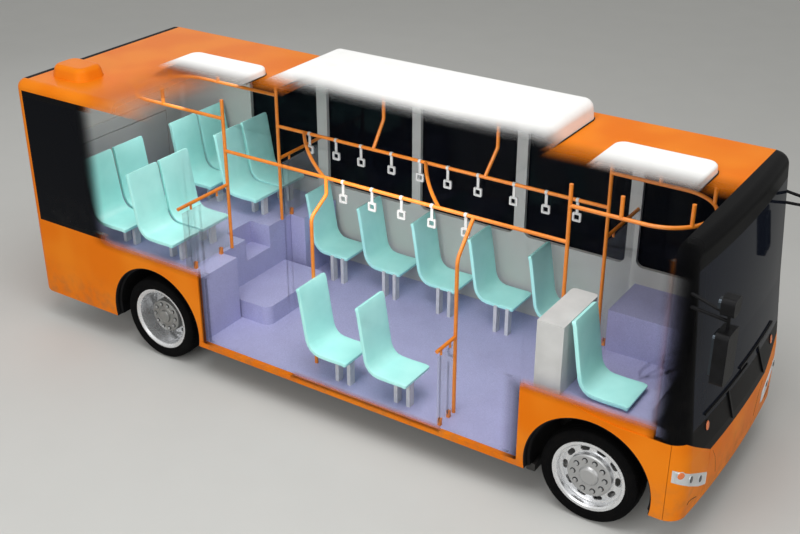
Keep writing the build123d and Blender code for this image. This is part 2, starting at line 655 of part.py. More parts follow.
def door_leaf(post_x, toward, width):
    """One leaf, from its post towards the middle of the doorway, with its glass."""
    with BuildPart() as leaf:
        with BuildSketch(Plane.XY.offset(DOOR_LOW_Z)):
            with Locations((post_x, -HALF_WIDTH + DOOR_THICK / 2)):
                Circle(DOOR_THICK / 2)
            with Locations((post_x + toward * width / 2, -HALF_WIDTH + DOOR_THICK / 2)):
                Rectangle(width, DOOR_THICK)
        extrude(amount=DOOR_HIGH_Z - DOOR_LOW_Z)
        for low, high in ((DOOR_LOW_Z, DOOR_MIDRAIL_Z), (DOOR_MIDRAIL_Z, DOOR_HIGH_Z)):
            block(post_x + toward * DOOR_FRAME, post_x + toward * (width - DOOR_FRAME),
                  -HALF_WIDTH + GLASS, -HALF_WIDTH + DOOR_THICK + 1,
                  low + DOOR_FRAME / 2, high - DOOR_FRAME / 2, Mode.SUBTRACT)
        for low, high in ((DOOR_SILL_Z + PIN_GAP, DOOR_LOW_Z), (DOOR_HIGH_Z, BAND_TOP_Z - PIN_GAP)):
            with Locations((post_x, -HALF_WIDTH + DOOR_THICK / 2, (low + high) / 2)):
                Cylinder(DOOR_PIN_RADIUS, high - low)
    return leaf.part


# Door leaves: a pair in each doorway, swinging inwards on posts beside the jambs
for label, (rear_edge, front_edge) in (("door_rear", REAR_DOOR), ("door_front", FRONT_DOOR)):
    leaf_width = (rear_edge - front_edge - DOOR_MEETING_GAP) / 2 - DOOR_POST_INSET
    with BuildPart() as front_leaf:
        add(door_leaf(FRONT_AXLE_X - front_edge - DOOR_POST_INSET, -1, leaf_width))
    save(front_leaf, label + "_front_leaf")
    with BuildPart() as rear_leaf:
        add(door_leaf(FRONT_AXLE_X - rear_edge + DOOR_POST_INSET, 1, leaf_width))
    save(rear_leaf, label + "_rear_leaf")

# Underframe: side rails at three levels, the posts between them and cross members
with BuildPart() as underframe:
    for aft, fore, low, high in FRAME_RAILS:
        for side in (1, -1):
            block(FRONT_AXLE_X - aft, FRONT_AXLE_X - fore, side * FRAME_INNER_Y, side * FRAME_OUTER_Y, low, high)
    for member, low, high, reach in FRAME_CROSS_MEMBERS:
        block(FRONT_AXLE_X - member - FRAME_CROSS_WIDTH, FRONT_AXLE_X - member, -reach, reach, low, high)
    with Locations((FRONT_AXLE_X - FRAME_CROSS_MEMBERS[0][0] - FRAME_CROSS_WIDTH / 2, 0, TOW_BORE_Z)):
        Cylinder(TOW_BORE_RADIUS, 2 * FRAME_CROSS_WIDTH, mode=Mode.SUBTRACT)
save(underframe, "underframe")


def radius_rods(axle_x, bracket_x, height):
    """The rods that hold an axle to its frame brackets, one a side."""
    for side in (1, -1):
        with Locations(((axle_x + bracket_x) / 2, side * SPRING_Y, height)):
            Cylinder(ROD_RADIUS, abs(axle_x - bracket_x), rotation=(0, 90, 0))


# Front axle: a dropped beam with a kingpin eye at each end
with BuildPart() as front_axle:
    with BuildSketch(Plane.YZ.offset(FRONT_AXLE_X - BEAM_WIDTH / 2)):
        with BuildLine():
            low = EYE_Z - BEAM_HEIGHT / 2
            high = EYE_Z + BEAM_HEIGHT / 2
            Polyline((-KINGPIN_Y, high), (-BEAM_KNEE_Y, high), (-BEAM_DROP_Y, high - BEAM_DROP),
                     (BEAM_DROP_Y, high - BEAM_DROP), (BEAM_KNEE_Y, high), (KINGPIN_Y, high),
                     (KINGPIN_Y, low), (BEAM_KNEE_Y, low), (BEAM_DROP_Y, low - BEAM_DROP),
                     (-BEAM_DROP_Y, low - BEAM_DROP), (-BEAM_KNEE_Y, low), (-KINGPIN_Y, low), close=True)
        make_face()
    extrude(amount=BEAM_WIDTH)
    with Locations((FRONT_AXLE_X, KINGPIN_Y, EYE_Z), (FRONT_AXLE_X, -KINGPIN_Y, EYE_Z)):
        Cylinder(BEAM_WIDTH / 2, BEAM_HEIGHT)
        Cylinder(KINGPIN_RADIUS + KINGPIN_CLEARANCE, BEAM_HEIGHT + 2, mode=Mode.SUBTRACT)
    radius_rods(FRONT_AXLE_X, FRONT_BRACKET_X, EYE_Z - BEAM_DROP)
save(front_axle, "front_axle")

# Rear axle: tube, differential housing, spindles and springs
with BuildPart() as rear_axle:
    for half_length, radius in ((REAR_TUBE_HALF, REAR_TUBE_RADIUS), (SPINDLE_END_Y, STUB_RADIUS)):
        with BuildSketch(Plane.XZ.offset(-half_length)):
            with Locations((REAR_AXLE_X, WHEEL_Z)):
                Circle(radius)
        extrude(amount=2 * half_length)
    with Locations((REAR_AXLE_X, 0, WHEEL_Z)):
        Sphere(DIFFERENTIAL_RADIUS)
    for side in (1, -1):
        with Locations((REAR_AXLE_X, side * SPRING_Y, WHEEL_Z)):
            Cylinder(BELLOWS_RADIUS, REAR_TUBE_RADIUS + SPRING_SEAT, align=(Align.CENTER, Align.CENTER, Align.MIN))
    radius_rods(REAR_AXLE_X, REAR_BRACKET_X, WHEEL_Z)
save(rear_axle, "rear_axle")

# Air springs between each axle and the rails above it
with BuildPart() as air_springs:
    for axle_x, low, high in ((FRONT_AXLE_X, EYE_Z + BEAM_HEIGHT / 2 - BEAM_DROP, FRONT_RAIL_Z),
                              (REAR_AXLE_X, WHEEL_Z + REAR_TUBE_RADIUS + SPRING_SEAT, REAR_RAIL_Z)):
        for side in (1, -1):
            with BuildSketch(Plane.XZ):
                with BuildLine():
                    middle = (low + high) / 2
                    ThreePointArc((BELLOWS_RADIUS, low), (BELLOWS_RADIUS + BELLOWS_BULGE, (low + middle) / 2),
                                  (BELLOWS_RADIUS, middle))
                    ThreePointArc((BELLOWS_RADIUS, middle), (BELLOWS_RADIUS + BELLOWS_BULGE, (middle + high) / 2),
                                  (BELLOWS_RADIUS, high))
                    Polyline((BELLOWS_RADIUS, high), (0, high), (0, low), (BELLOWS_RADIUS, low))
                make_face()
            bellows = revolve(axis=Axis.Z, mode=Mode.PRIVATE)
            add(Pos(axle_x, side * SPRING_Y, 0) * bellows)
save(air_springs, "air_springs")

# Steering knuckles: a fork round the axle's eye, its kingpin and the stub axle
for side, label in ((1, "knuckle_left"), (-1, "knuckle_right")):
    with BuildPart() as knuckle:
        with Locations((FRONT_AXLE_X, side * KINGPIN_Y, EYE_Z)):
            Cylinder(KINGPIN_RADIUS, BEAM_HEIGHT + 2 * FORK_GAP + 2 * FORK_ARM)
        for level in (1, -1):
            near = EYE_Z + level * (BEAM_HEIGHT / 2 + FORK_GAP)
            with Locations((FRONT_AXLE_X, side * KINGPIN_Y, near + level * FORK_ARM / 2)):
                Cylinder(BEAM_WIDTH / 2, FORK_ARM)
            block(FRONT_AXLE_X - BEAM_WIDTH / 2, FRONT_AXLE_X + BEAM_WIDTH / 2, side * KINGPIN_Y,
                  side * KNUCKLE_FACE_Y, near, near + level * FORK_ARM)
        for radius, start_y, end_y in ((KNUCKLE_PLATE_RADIUS, KNUCKLE_FACE_Y - KNUCKLE_PLATE, KNUCKLE_FACE_Y),
                                       (STUB_RADIUS, KNUCKLE_FACE_Y, STUB_END_Y)):
            with Locations((FRONT_AXLE_X, side * (start_y + end_y) / 2, WHEEL_Z)):
                Cylinder(radius, end_y - start_y, rotation=(90, 0, 0))
    save(knuckle, label)


def place_wheel(shape, axle_x, y, side):
    """Turns a wheel piece whose outer side faces +X to face outwards, at its axle."""
    return Pos(axle_x, side * y, WHEEL_Z) * Rot(0, 0, side * 90) * shape


def rim(section_points, disc_face):
    """A turned rim with its hand holes and studs, the outer side facing +X."""
    with BuildPart() as turned:
        with BuildSketch(Plane.XY) as section:
            with BuildLine():
                Polyline(*section_points, close=True)
            make_face()
        revolve(section.sketch, axis=Axis.X)
        with BuildSketch(Plane.YZ.offset(-TYRE_WIDTH)) as holes:
            with PolarLocations(HAND_HOLE_CIRCLE, HAND_HOLES):
                SlotOverall(HAND_HOLE_LENGTH, HAND_HOLE_WIDTH, rotation=90)
        extrude(holes.sketch, amount=2 * TYRE_WIDTH, mode=Mode.SUBTRACT)
        with Locations(Plane.YZ.offset(disc_face)):
            with PolarLocations(STUD_CIRCLE, STUDS):
                Cylinder(STUD_RADIUS, STUD_LENGTH, align=(Align.CENTER, Align.CENTER, Align.MIN))
    return turned.part


with BuildPart() as tyre_form:
    half = TYRE_WIDTH / 2
    with BuildSketch(Plane.XY):
        with BuildLine():
            tread = ThreePointArc((-TREAD_HALF, SHOULDER_RADIUS), (0, TYRE_RADIUS), (TREAD_HALF, SHOULDER_RADIUS))
            for hand, shoulder in ((1, tread @ 1), (-1, tread @ 0)):
                ThreePointArc(shoulder, (hand * half, SIDEWALL_RADIUS), (hand * RIM_HALF, RIM_RADIUS))
                Line((hand * RIM_HALF, RIM_RADIUS), (hand * RIM_HALF, RIM_SEAT_RADIUS))
            Line((-RIM_HALF, RIM_SEAT_RADIUS), (RIM_HALF, RIM_SEAT_RADIUS))
        make_face()
    revolve(axis=Axis.X)

front_rim = rim(FRONT_RIM_SECTION, FRONT_DISC_FACE)
twin_rim = rim(TWIN_RIM_SECTION, TWIN_DISC_FACE)
for side, hand in ((1, "left"), (-1, "right")):
    with BuildPart() as front_tyre:
        add(place_wheel(tyre_form.part, FRONT_AXLE_X, TYRE_Y, side))
    save(front_tyre, "front_tyre_" + hand)
    with BuildPart() as front_wheel:
        add(place_wheel(front_rim, FRONT_AXLE_X, TYRE_Y, side))
    save(front_wheel, "front_rim_" + hand)
    with BuildPart() as rear_tyres:
        for tyre_y in (TYRE_Y, TYRE_Y - TYRE_WIDTH - TWIN_GAP):
            add(place_wheel(tyre_form.part, REAR_AXLE_X, tyre_y, side))
    save(rear_tyres, "rear_tyres_" + hand)
    with BuildPart() as rear_wheel:
        add(place_wheel(twin_rim, REAR_AXLE_X, TYRE_Y - (TYRE_WIDTH + TWIN_GAP) / 2, side))
    save(rear_wheel, "rear_rims_" + hand)


def seat(front_x, middle_y, seat_z):
    """A bent seat shell facing forwards, its front edge at front_x."""
    with BuildPart() as shell:
        with BuildSketch(Plane.XZ.offset(-middle_y - SEAT_WIDTH / 2)):
            with BuildLine():
                FilletPolyline((front_x, seat_z), (front_x - SEAT_DEPTH, seat_z),
                               (front_x - SEAT_DEPTH - SEAT_LEAN, seat_z + SEAT_BACK), radius=SEAT_BEND)
                offset(amount=SEAT_SHELL, side=Side.LEFT)
            make_face()
        extrude(amount=SEAT_WIDTH)
        for end in (shell.faces().sort_by(Axis.Z)[-1], shell.faces().sort_by(Axis.X)[-1]):
            sides = end.edges().group_by(Axis.Y)
            fillet(sides[0] + sides[-1], SEAT_CORNER)
    return shell.part


with BuildPart() as passenger_seats:
    for seat_z, ground, leg_offset, places in PASSENGER_SEATS:
        for front, middle_y in places:
            add(seat(FRONT_AXLE_X - front, middle_y, seat_z))
save(passenger_seats, "passenger_seats")

with BuildPart() as driver_seat:
    for seat_z, ground, leg_offset, places in DRIVER_SEAT:
        for front, middle_y in places:
            add(seat(FRONT_AXLE_X - front, middle_y, seat_z))
save(driver_seat, "driver_seat")

with BuildPart() as seat_legs:
    for seat_z, ground, leg_offset, places in PASSENGER_SEATS + DRIVER_SEAT:
        for front, middle_y in places:
            leg_y = middle_y + leg_offset
            for step in (-LEG_PITCH / 2, LEG_PITCH / 2):
                leg_x = FRONT_AXLE_X - front - LEG_SETBACK + step
                block(leg_x - LEG / 2, leg_x + LEG / 2, leg_y - LEG, leg_y + LEG, ground, seat_z - SEAT_SHELL)
save(seat_legs, "seat_legs")


def tube(*points, bend=0, radius=RAIL_RADIUS):
    """A round tube through points given as (station, y, z), with arcs at the corners."""
    route = [(FRONT_AXLE_X - x, y, z) for x, y, z in points]
    with BuildPart() as bent:
        with BuildLine() as path:
            if bend:
                FilletPolyline(*route, radius=bend)
            else:
                Line(*route)
        with BuildSketch(Plane(origin=path.line @ 0, z_dir=path.line % 0)) as section:
            Circle(radius)
        sweep(section.sketch, path=path.line)
    return bent.part


def arc_tube(*points):
    """A round tube along the arc through three points given as (station, y, z)."""
    route = [(FRONT_AXLE_X - x, y, z) for x, y, z in points]
    with BuildPart() as bent:
        with BuildLine() as path:
            ThreePointArc(*route)
        with BuildSketch(Plane(origin=path.line @ 0, z_dir=path.line % 0)) as section:
            Circle(RAIL_RADIUS)
        sweep(section.sketch, path=path.line)
    return bent.part


# Poles from floor to ceiling, and the rails, loops and guards between them
with BuildPart() as grab_poles:
    for side in (1, -1):
        add(tube((REAR_POLE, side * RAIL_Y, PLATFORM_Z), (REAR_POLE, side * RAIL_Y, CEILING_Z)))
        add(tube((FRONT_POLE, side * RAIL_Y, CAB_FLOOR_Z), (FRONT_POLE, side * RAIL_Y, CEILING_Z)))
save(grab_poles, "grab_poles")

with BuildPart() as ceiling_rails:
    for side in (1, -1):
        add(tube((REAR_POLE, side * RAIL_Y, RAIL_Z), (FRONT_POLE, side * RAIL_Y, RAIL_Z)))
    add(grab_poles.part, mode=Mode.SUBTRACT)
save(ceiling_rails, "ceiling_rails")

with BuildPart() as branch_rails:
    for points in CROSS_RAILS:
        add(arc_tube(*points))
    for points in WALL_RAILS:
        add(tube(*points, bend=STANCHION_BEND))
    add(ceiling_rails.part, mode=Mode.SUBTRACT)
save(branch_rails, "branch_rails")

with BuildPart() as door_stanchions:
    for points in STANCHIONS:
        add(tube(*points, bend=STANCHION_BEND))
    add(ceiling_rails.part, mode=Mode.SUBTRACT)
save(door_stanchions, "door_stanchions")

with BuildPart() as rail_loops:
    for pole, tip, turn in ((FRONT_POLE, FRONT_LOOP_TIP, 1), (REAR_POLE, REAR_LOOP_TIP, -1)):
        turn_x = tip + turn * RAIL_Y
        with BuildLine() as path:
            near_run = Line((FRONT_AXLE_X - pole, RAIL_Y, LOOP_Z), (FRONT_AXLE_X - turn_x, RAIL_Y, LOOP_Z))
            around = ThreePointArc(near_run @ 1, (FRONT_AXLE_X - tip, 0, LOOP_Z),
                                   (FRONT_AXLE_X - turn_x, -RAIL_Y, LOOP_Z))
            Line(around @ 1, (FRONT_AXLE_X - pole, -RAIL_Y, LOOP_Z))
        with BuildSketch(Plane(origin=path.line @ 0, z_dir=path.line % 0)):
            Circle(RAIL_RADIUS)
        sweep(path=path.line)
        for side in (1, -1):
            add(tube((turn_x + turn * LOOP_HANGER_SETBACK, side * RAIL_Y, LOOP_Z),
                     (turn_x + turn * LOOP_HANGER_SETBACK, side * RAIL_Y, CEILING_Z)))
            bow_x = turn_x - turn * RAIL_Y * cos(radians(LOOP_HANGER_ANGLE))
            bow_y = side * RAIL_Y * sin(radians(LOOP_HANGER_ANGLE))
            add(tube((bow_x, bow_y, LOOP_Z), (bow_x, bow_y, CEILING_Z)))
    add(grab_poles.part, mode=Mode.SUBTRACT)
save(rail_loops, "rail_loops")

# Guards: clear screens, each under a rail that it hangs from by two stubs
with BuildPart() as clear_screens:
    for middle, inner_y, outer_y, low, rail_z in GUARDS:
        block(FRONT_AXLE_X - middle - SCREEN_THICK / 2, FRONT_AXLE_X - middle + SCREEN_THICK / 2,
              inner_y, outer_y, low + SCREEN_FOOT, rail_z - GUARD_STUB)
save(clear_screens, "clear_screens")

with BuildPart() as guard_rails:
    for middle, inner_y, outer_y, low, rail_z in GUARDS:
        outward = 1 if outer_y > 0 else -1
        x = FRONT_AXLE_X - middle
        add(tube((middle, inner_y - outward * GUARD_REACH, rail_z), (middle, outward * (HALF_WIDTH - WALL), rail_z)))
        for share in GUARD_STUBS:
            stub_y = inner_y + share * (outer_y - inner_y)
            add(tube((middle, stub_y, rail_z - GUARD_STUB), (middle, stub_y, rail_z), radius=STUB_TUBE_RADIUS))
            block(x - FOOT_HALF, x + FOOT_HALF, stub_y - FOOT_HALF, stub_y + FOOT_HALF,
                  low, low + SCREEN_FOOT + FOOT_GRIP)
    add(clear_screens.part, mode=Mode.SUBTRACT)
    add(grab_poles.part, mode=Mode.SUBTRACT)
    add(door_stanchions.part, mode=Mode.SUBTRACT)
save(guard_rails, "guard_rails")

# Strap hangers: a sleeve round the rail, a strap and a square ring
with BuildPart() as hanger:
    with BuildSketch(Plane.YZ):
        Circle(RAIL_RADIUS + HANGER_SLEEVE)
        Circle(RAIL_RADIUS, mode=Mode.SUBTRACT)
    extrude(amount=HANGER_STRAP_WIDTH / 2, both=True)
    ring_z = -HANGER_LENGTH + HANGER_RING / 2
    block(-HANGER_STRAP_WIDTH / 2, HANGER_STRAP_WIDTH / 2, -HANGER_SLEEVE, HANGER_SLEEVE,
          ring_z + HANGER_RING / 2 - 2, -RAIL_RADIUS - 1)
    with BuildSketch(Plane.XZ):
        with Locations((0, ring_z)):
            RectangleRounded(HANGER_RING, HANGER_RING, 12)
            RectangleRounded(HANGER_HOLE, HANGER_HOLE, 8, mode=Mode.SUBTRACT)
    extrude(amount=HANGER_RING_THICK / 2, both=True)

with BuildPart() as strap_hangers:
    for side, stations in ((1, HANGERS_LEFT), (-1, HANGERS_RIGHT)):
        for x in stations:
            add(Pos(FRONT_AXLE_X - x, side * RAIL_Y, RAIL_Z) * hanger.part)
save(strap_hangers, "strap_hangers")

# Cab: cabinet behind the driver, dashboard and steering wheel
with BuildPart() as cabinet:
    block(FRONT_AXLE_X - CABINET_REAR, FRONT_AXLE_X - CABINET_FRONT, CABINET_RIGHT_Y, CABINET_LEFT_Y,
          CAB_FLOOR_Z, CABINET_TOP_Z)
    fillet(cabinet.edges().filter_by(Axis.Z).group_by(Axis.Y)[-1], CABINET_CORNER)
    add(cab_floor.part, mode=Mode.SUBTRACT)
    block(FRONT_AXLE_X - BOX_REACH, FRONT_AXLE_X, -HALF_WIDTH, -BOX_INNER_Y, FLOOR_Z, BOX_TOP_Z, Mode.SUBTRACT)
save(cabinet, "cabinet")

with BuildPart() as dashboard:
    with BuildSketch(Plane.XZ.offset(-DASH_HALF)):
        with BuildLine():
            Polyline(*[(FRONT_AXLE_X + x, z) for x, z in DASH_SECTION], close=True)
        make_face()
    extrude(amount=2 * DASH_HALF)
    with BuildSketch(Plane.XZ.offset(-DRIVER_Y - BINNACLE_HALF)):
        with BuildLine():
            Polyline(*[(FRONT_AXLE_X + x, z) for x, z in BINNACLE_SECTION], close=True)
        make_face()
    extrude(amount=2 * BINNACLE_HALF)
    add(inner, mode=Mode.INTERSECT)
save(dashboard, "dashboard")

wheel_plane = Plane(origin=(FRONT_AXLE_X + STEERING_X, DRIVER_Y, STEERING_Z),
                    z_dir=(-cos(radians(STEERING_TILT)), 0, sin(radians(STEERING_TILT))))
with BuildPart() as steering_wheel:
    with Locations(wheel_plane):
        Torus(STEERING_RADIUS, STEERING_GRIP)
        Cylinder(STEERING_HUB, 2 * STEERING_GRIP)
        for turn in (0, 120, 240):
            with Locations(Location((0, 0, 0), (0, 0, turn))):
                Box(STEERING_RADIUS, 28, STEERING_GRIP, align=(Align.MIN, Align.CENTER, Align.CENTER))
        Cylinder(STEERING_COLUMN, COLUMN_LENGTH, align=(Align.CENTER, Align.CENTER, Align.MAX))
    add(dashboard.part, mode=Mode.SUBTRACT)
save(steering_wheel, "steering_wheel")

# Outside: mirrors on their arms and wipers parked low on the windscreen
with BuildPart() as mirrors:
    for side in (1, -1):
        y = side * MIRROR_Y
        root_y = side * MIRROR_ROOT_Y
        for root_z, elbow_z in MIRROR_ARMS:
            add(tube((-MIRROR_ROOT_X, root_y, root_z), (-MIRROR_STEM_X, y, elbow_z), radius=MIRROR_ARM))
        add(tube((-MIRROR_STEM_X, y, MIRROR_TOP_Z), (-MIRROR_STEM_X, y, MIRROR_LOW_Z), radius=MIRROR_ARM))
        for middle_z, height, width in MIRROR_HEADS:
            with BuildSketch(Plane.YZ.offset(FRONT_AXLE_X + MIRROR_STEM_X - MIRROR_DEPTH / 2)) as head:
                with Locations((y, middle_z)):
                    RectangleRounded(width, height, MIRROR_CORNER)
            extrude(head.sketch, amount=MIRROR_DEPTH)
    add(outer, mode=Mode.SUBTRACT)
save(mirrors, "mirrors")

with BuildPart() as wipers:
    add(envelope(-WIPER_GAP - WIPER_THICK) - envelope(-WIPER_GAP))
    with BuildSketch(Plane.YZ.offset(SCREEN_X)) as wiper_view:
        for pivot_y, low, blade_start, blade_end, blade_z in WIPERS:
            with Locations(((blade_start + blade_end) / 2, blade_z)):
                Rectangle(abs(blade_end - blade_start), WIPER_BLADE)
            with BuildLine():
                Polyline((pivot_y - 14, low), (pivot_y + 14, low),
                         ((blade_start + blade_end) / 2 + 10, blade_z), ((blade_start + blade_end) / 2 - 10, blade_z),
                         close=True)
            make_face()
    extrude(amount=NOSE_X, mode=Mode.INTERSECT)
save(wipers, "wipers")

# Traction: battery pack at the tail and the motor behind the rear axle
with BuildPart() as battery_pack:
    block(*BATTERY_STATIONS, -BATTERY_HALF, BATTERY_HALF, BATTERY_LOW_Z, PLATFORM_Z - PLATFORM_THICK)
save(battery_pack, "battery_pack")

with BuildPart() as drive_motor:
    with Locations((FRONT_AXLE_X - MOTOR_STATION, 0, MOTOR_Z)):
        Cylinder(MOTOR_RADIUS, MOTOR_LENGTH, rotation=(0, 90, 0))
    with Locations((FRONT_AXLE_X - MOTOR_STATION, 0, MOTOR_Z)):
        Cylinder(SHAFT_RADIUS, REAR_AXLE_X - FRONT_AXLE_X + MOTOR_STATION, rotation=(0, 90, 0),
                 align=(Align.CENTER, Align.CENTER, Align.MIN))
    add(rear_axle.part, mode=Mode.SUBTRACT)
save(drive_motor, "drive_motor")
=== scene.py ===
"""An electric low-floor minibus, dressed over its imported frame. Metres, +X forward, +Y to its left, +Z up.

The near side is finished as a cutaway: its glass, doors, middle panel and half of the roof fade out to the cabin."""
import math
import bpy
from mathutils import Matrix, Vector


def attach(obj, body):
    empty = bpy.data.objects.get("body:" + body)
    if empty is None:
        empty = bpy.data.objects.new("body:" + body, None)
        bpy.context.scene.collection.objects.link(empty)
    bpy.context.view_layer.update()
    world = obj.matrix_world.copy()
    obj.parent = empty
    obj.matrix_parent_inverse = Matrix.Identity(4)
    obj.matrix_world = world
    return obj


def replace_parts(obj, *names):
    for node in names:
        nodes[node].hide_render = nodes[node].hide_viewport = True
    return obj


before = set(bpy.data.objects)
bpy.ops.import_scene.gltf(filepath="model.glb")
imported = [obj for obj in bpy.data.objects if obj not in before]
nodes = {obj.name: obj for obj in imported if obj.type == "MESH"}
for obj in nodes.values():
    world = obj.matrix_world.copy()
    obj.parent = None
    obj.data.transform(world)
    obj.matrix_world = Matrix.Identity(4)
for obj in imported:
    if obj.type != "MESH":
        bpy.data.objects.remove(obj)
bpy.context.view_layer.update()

# The axes of a place. The lean is Y + 1.617 Z, which sinks to the left
X, Y, Z, LEAN = 0, 1, 2, 3
LEAN_RISE = 1.617

SIDES = (("left", 1), ("right", -1))
FRONT_AXLE_X = 2.630
REAR_AXLE_X = -1.996
AXLES = (("front", FRONT_AXLE_X), ("rear", REAR_AXLE_X))
WHEEL_Z = 0.428
TYRE_Y = 0.9875
TWIN_STEP = 0.145
ARCH_Z = 0.436
ARCH_REACH = 0.5565
ARCH_START, ARCH_TURN = math.radians(-11), math.radians(202)
WAIST_Z = 1.16
CABIN_MIDDLE_Z = 1.4
BLACK_EDGE_X, BLACK_EDGE_Y, BLACK_EDGE_Z = -3.49, 1.06, 2.53
# The hollows under the floor for the wheels: rear end, front end, inner side, top
WHEEL_BOXES = ((-2.60, -1.446, 0.556, 1.012), (2.045, 3.215, 0.511, 1.014))

# Where the near side fades, in groups of ramps: axis, where still solid, where gone
GLASS_FADE = (((X, -2.80, -2.55), (X, 3.30, 3.06), (Y, 0.1, -0.1)),)
SIDE_FADE = (((X, -2.80, -2.55), (X, 3.31, 3.10), (Z, 1.04, 1.17)),
             ((X, -0.345, -0.330), (X, 1.275, 1.262), (Z, 0.33, 0.42)))
CORNER_FADE = (((X, 3.34, 3.08), (Y, -0.86, -1.04)),)
WHEEL_FADE = (((X, 3.30, 3.08),),)
DASH_FADE = (((X, 3.38, 3.08), (Y, -0.45, -0.90)),)
ROOF_FADE = (((X, -2.85, -1.75), (Y, 0.36, -0.06)),
             ((X, -1.24, -1.20), (X, 1.55, 1.51), (Y, 0.94, 0.90)))
POD_FADE = (((X, -1.60, -1.50), (X, 1.80, 1.70), (LEAN, 4.667, 4.247)),
            ((X, -1.40, -1.50), (LEAN, 4.487, 4.067)),
            ((X, 1.70, 1.80), (LEAN, 4.487, 4.067)))
ABOVE_WAIST = ((Z, 0.90, 1.20),)
DOOR_FADES = {"door_front_front_leaf": (((X, 2.15, 1.84),), ABOVE_WAIST),
              "door_front_rear_leaf": (((X, 1.20, 1.25),),),
              "door_rear_front_leaf": (((X, -0.25, -0.323),),),
              "door_rear_rear_leaf": (((X, -1.54, -1.23),), ABOVE_WAIST)}


# Finishes
SMOOTH = {"interpolation_type": "SMOOTHSTEP"}
COLOURS = {"data_type": "RGBA", "output": 2}


def linear(code):
    """An sRGB hex colour as linear RGBA."""
    parts = [int(code[at:at + 2], 16) / 255 for at in (1, 3, 5)]
    return tuple(part / 12.92 if part <= 0.04045 else ((part + 0.055) / 1.055) ** 2.4 for part in parts) + (1.0,)


def node(tree, kind, inputs=(), output=0, **settings):
    """Adds a shader node with its settings and its inputs, in order or by name, each a value, a hex colour or a
    link, and gives one of its outputs."""
    made = tree.nodes.new("ShaderNode" + kind)
    for setting, value in settings.items():
        setattr(made, setting, value)
    for socket, value in inputs.items() if isinstance(inputs, dict) else enumerate(inputs):
        if isinstance(value, bpy.types.NodeSocket):
            tree.links.new(value, made.inputs[socket])
        else:
            made.inputs[socket].default_value = linear(value) if isinstance(value, str) else value
    return made.outputs[output] if made.outputs else None


def started(name):
    """A new finish: the material, its tree, and the place of each point on the piece."""
    material = bpy.data.materials.new(name)
    material.use_nodes = True
    tree = material.node_tree
    tree.nodes.clear()
    return material, tree, node(tree, "TexCoord", output="Object")


def finished(material, tree, shader):
    node(tree, "OutputMaterial", (node(tree, "BsdfPrincipled", shader),))
    return material


def merged(tree, operation, masks):
    """Masks brought together: their product holds where all do, and their maximum where any does."""
    whole = masks[0]
    for mask in masks[1:]:
        whole = node(tree, "Math", (whole, mask), operation=operation)
    return whole


def patches(tree, place, size, detail, start, end, low=0.0, high=1.0):
    """Soft patches about size metres across, from low to high: dust, wear, or a drift of tone."""
    noise = node(tree, "TexNoise", {"Vector": place, "Scale": 1 / size, "Detail": detail})
    return node(tree, "MapRange", (noise, start, end, low, high), **SMOOTH)


def skin(tree, place, size, depth, strength, detail=2.0):
    """The relief of a surface whose grains are size metres across: peel, pebble, spark grain or ripple."""
    noise = node(tree, "TexNoise", {"Vector": place, "Scale": 1 / size, "Detail": detail})
    return node(tree, "Bump", {"Height": noise, "Distance": depth, "Strength": strength})


def within(tree, value, low, high):
    """One where a value lies between two limits."""
    return merged(tree, "MULTIPLY", [node(tree, "Math", (value, low), operation="GREATER_THAN"),
                                     node(tree, "Math", (value, high), operation="LESS_THAN")])


def about_axle(tree, place, axle_x, height):
    """Where a point lies about an axle, seen from the side."""
    return node(tree, "VectorMath", (place, (1, 0, 1), (-axle_x, 0, -height)), operation="MULTIPLY_ADD")


def solid_share(tree, place, groups):
    """How solid a finish is. It is gone where all the ramps of a group are."""
    axes = list(node(tree, "SeparateXYZ", (place,)).node.outputs)
    axes.append(node(tree, "Math", (axes[Z], LEAN_RISE, axes[Y]), operation="MULTIPLY_ADD"))
    gone = []
    for group in groups:
        ramps = [node(tree, "MapRange", (axes[axis], solid, clear), **SMOOTH) for axis, solid, clear in group]
        gone.append(merged(tree, "MULTIPLY", ramps))
    return node(tree, "Math", (1.0, merged(tree, "MAXIMUM", gone)), operation="SUBTRACT")


def looks_inwards(tree, place, walls):
    """One on the faces of a shell that look into the cabin and, above the waist, on its cut edges. Walls weighs the
    directions in which the shell stands off from the cabin's middle."""
    facing = node(tree, "TexCoord", output="Normal")
    from_middle = node(tree, "VectorMath", (place, walls, (0, 0, -CABIN_MIDDLE_Z * walls[Z])),
                       operation="MULTIPLY_ADD")
    outward = node(tree, "VectorMath", (from_middle, facing), "Value", operation="DOT_PRODUCT")
    height = node(tree, "SeparateXYZ", (place,), Z)
    edges_too = node(tree, "Math", (height, WAIST_Z), operation="GREATER_THAN")
    limit = node(tree, "Math", (edges_too, 0.1, -0.05), operation="MULTIPLY_ADD")
    return node(tree, "Math", (outward, limit), operation="LESS_THAN")


def within_arches(tree, place):
    """One inside the round wheel arches."""
    arches = []
    for axle_x in (FRONT_AXLE_X, REAR_AXLE_X):
        about = about_axle(tree, place, axle_x, ARCH_Z)
        radius = node(tree, "VectorMath", (about,), "Value", operation="LENGTH")
        arches.append(node(tree, "Math", (radius, ARCH_REACH), operation="LESS_THAN"))
    return merged(tree, "MAXIMUM", arches)


def black_edge(tree, place):
    """One on the roof's rear edge, where the black of the rear glass is carried over it."""
    axes = node(tree, "SeparateXYZ", (place,)).node.outputs
    reach = node(tree, "Math", (axes[Y],), operation="ABSOLUTE")
    return merged(tree, "MULTIPLY", [node(tree, "Math", (axes[X], BLACK_EDGE_X), operation="LESS_THAN"),
                                     node(tree, "Math", (axes[Z], BLACK_EDGE_Z), operation="GREATER_THAN"),
                                     node(tree, "Math", (reach, BLACK_EDGE_Y), operation="LESS_THAN")])


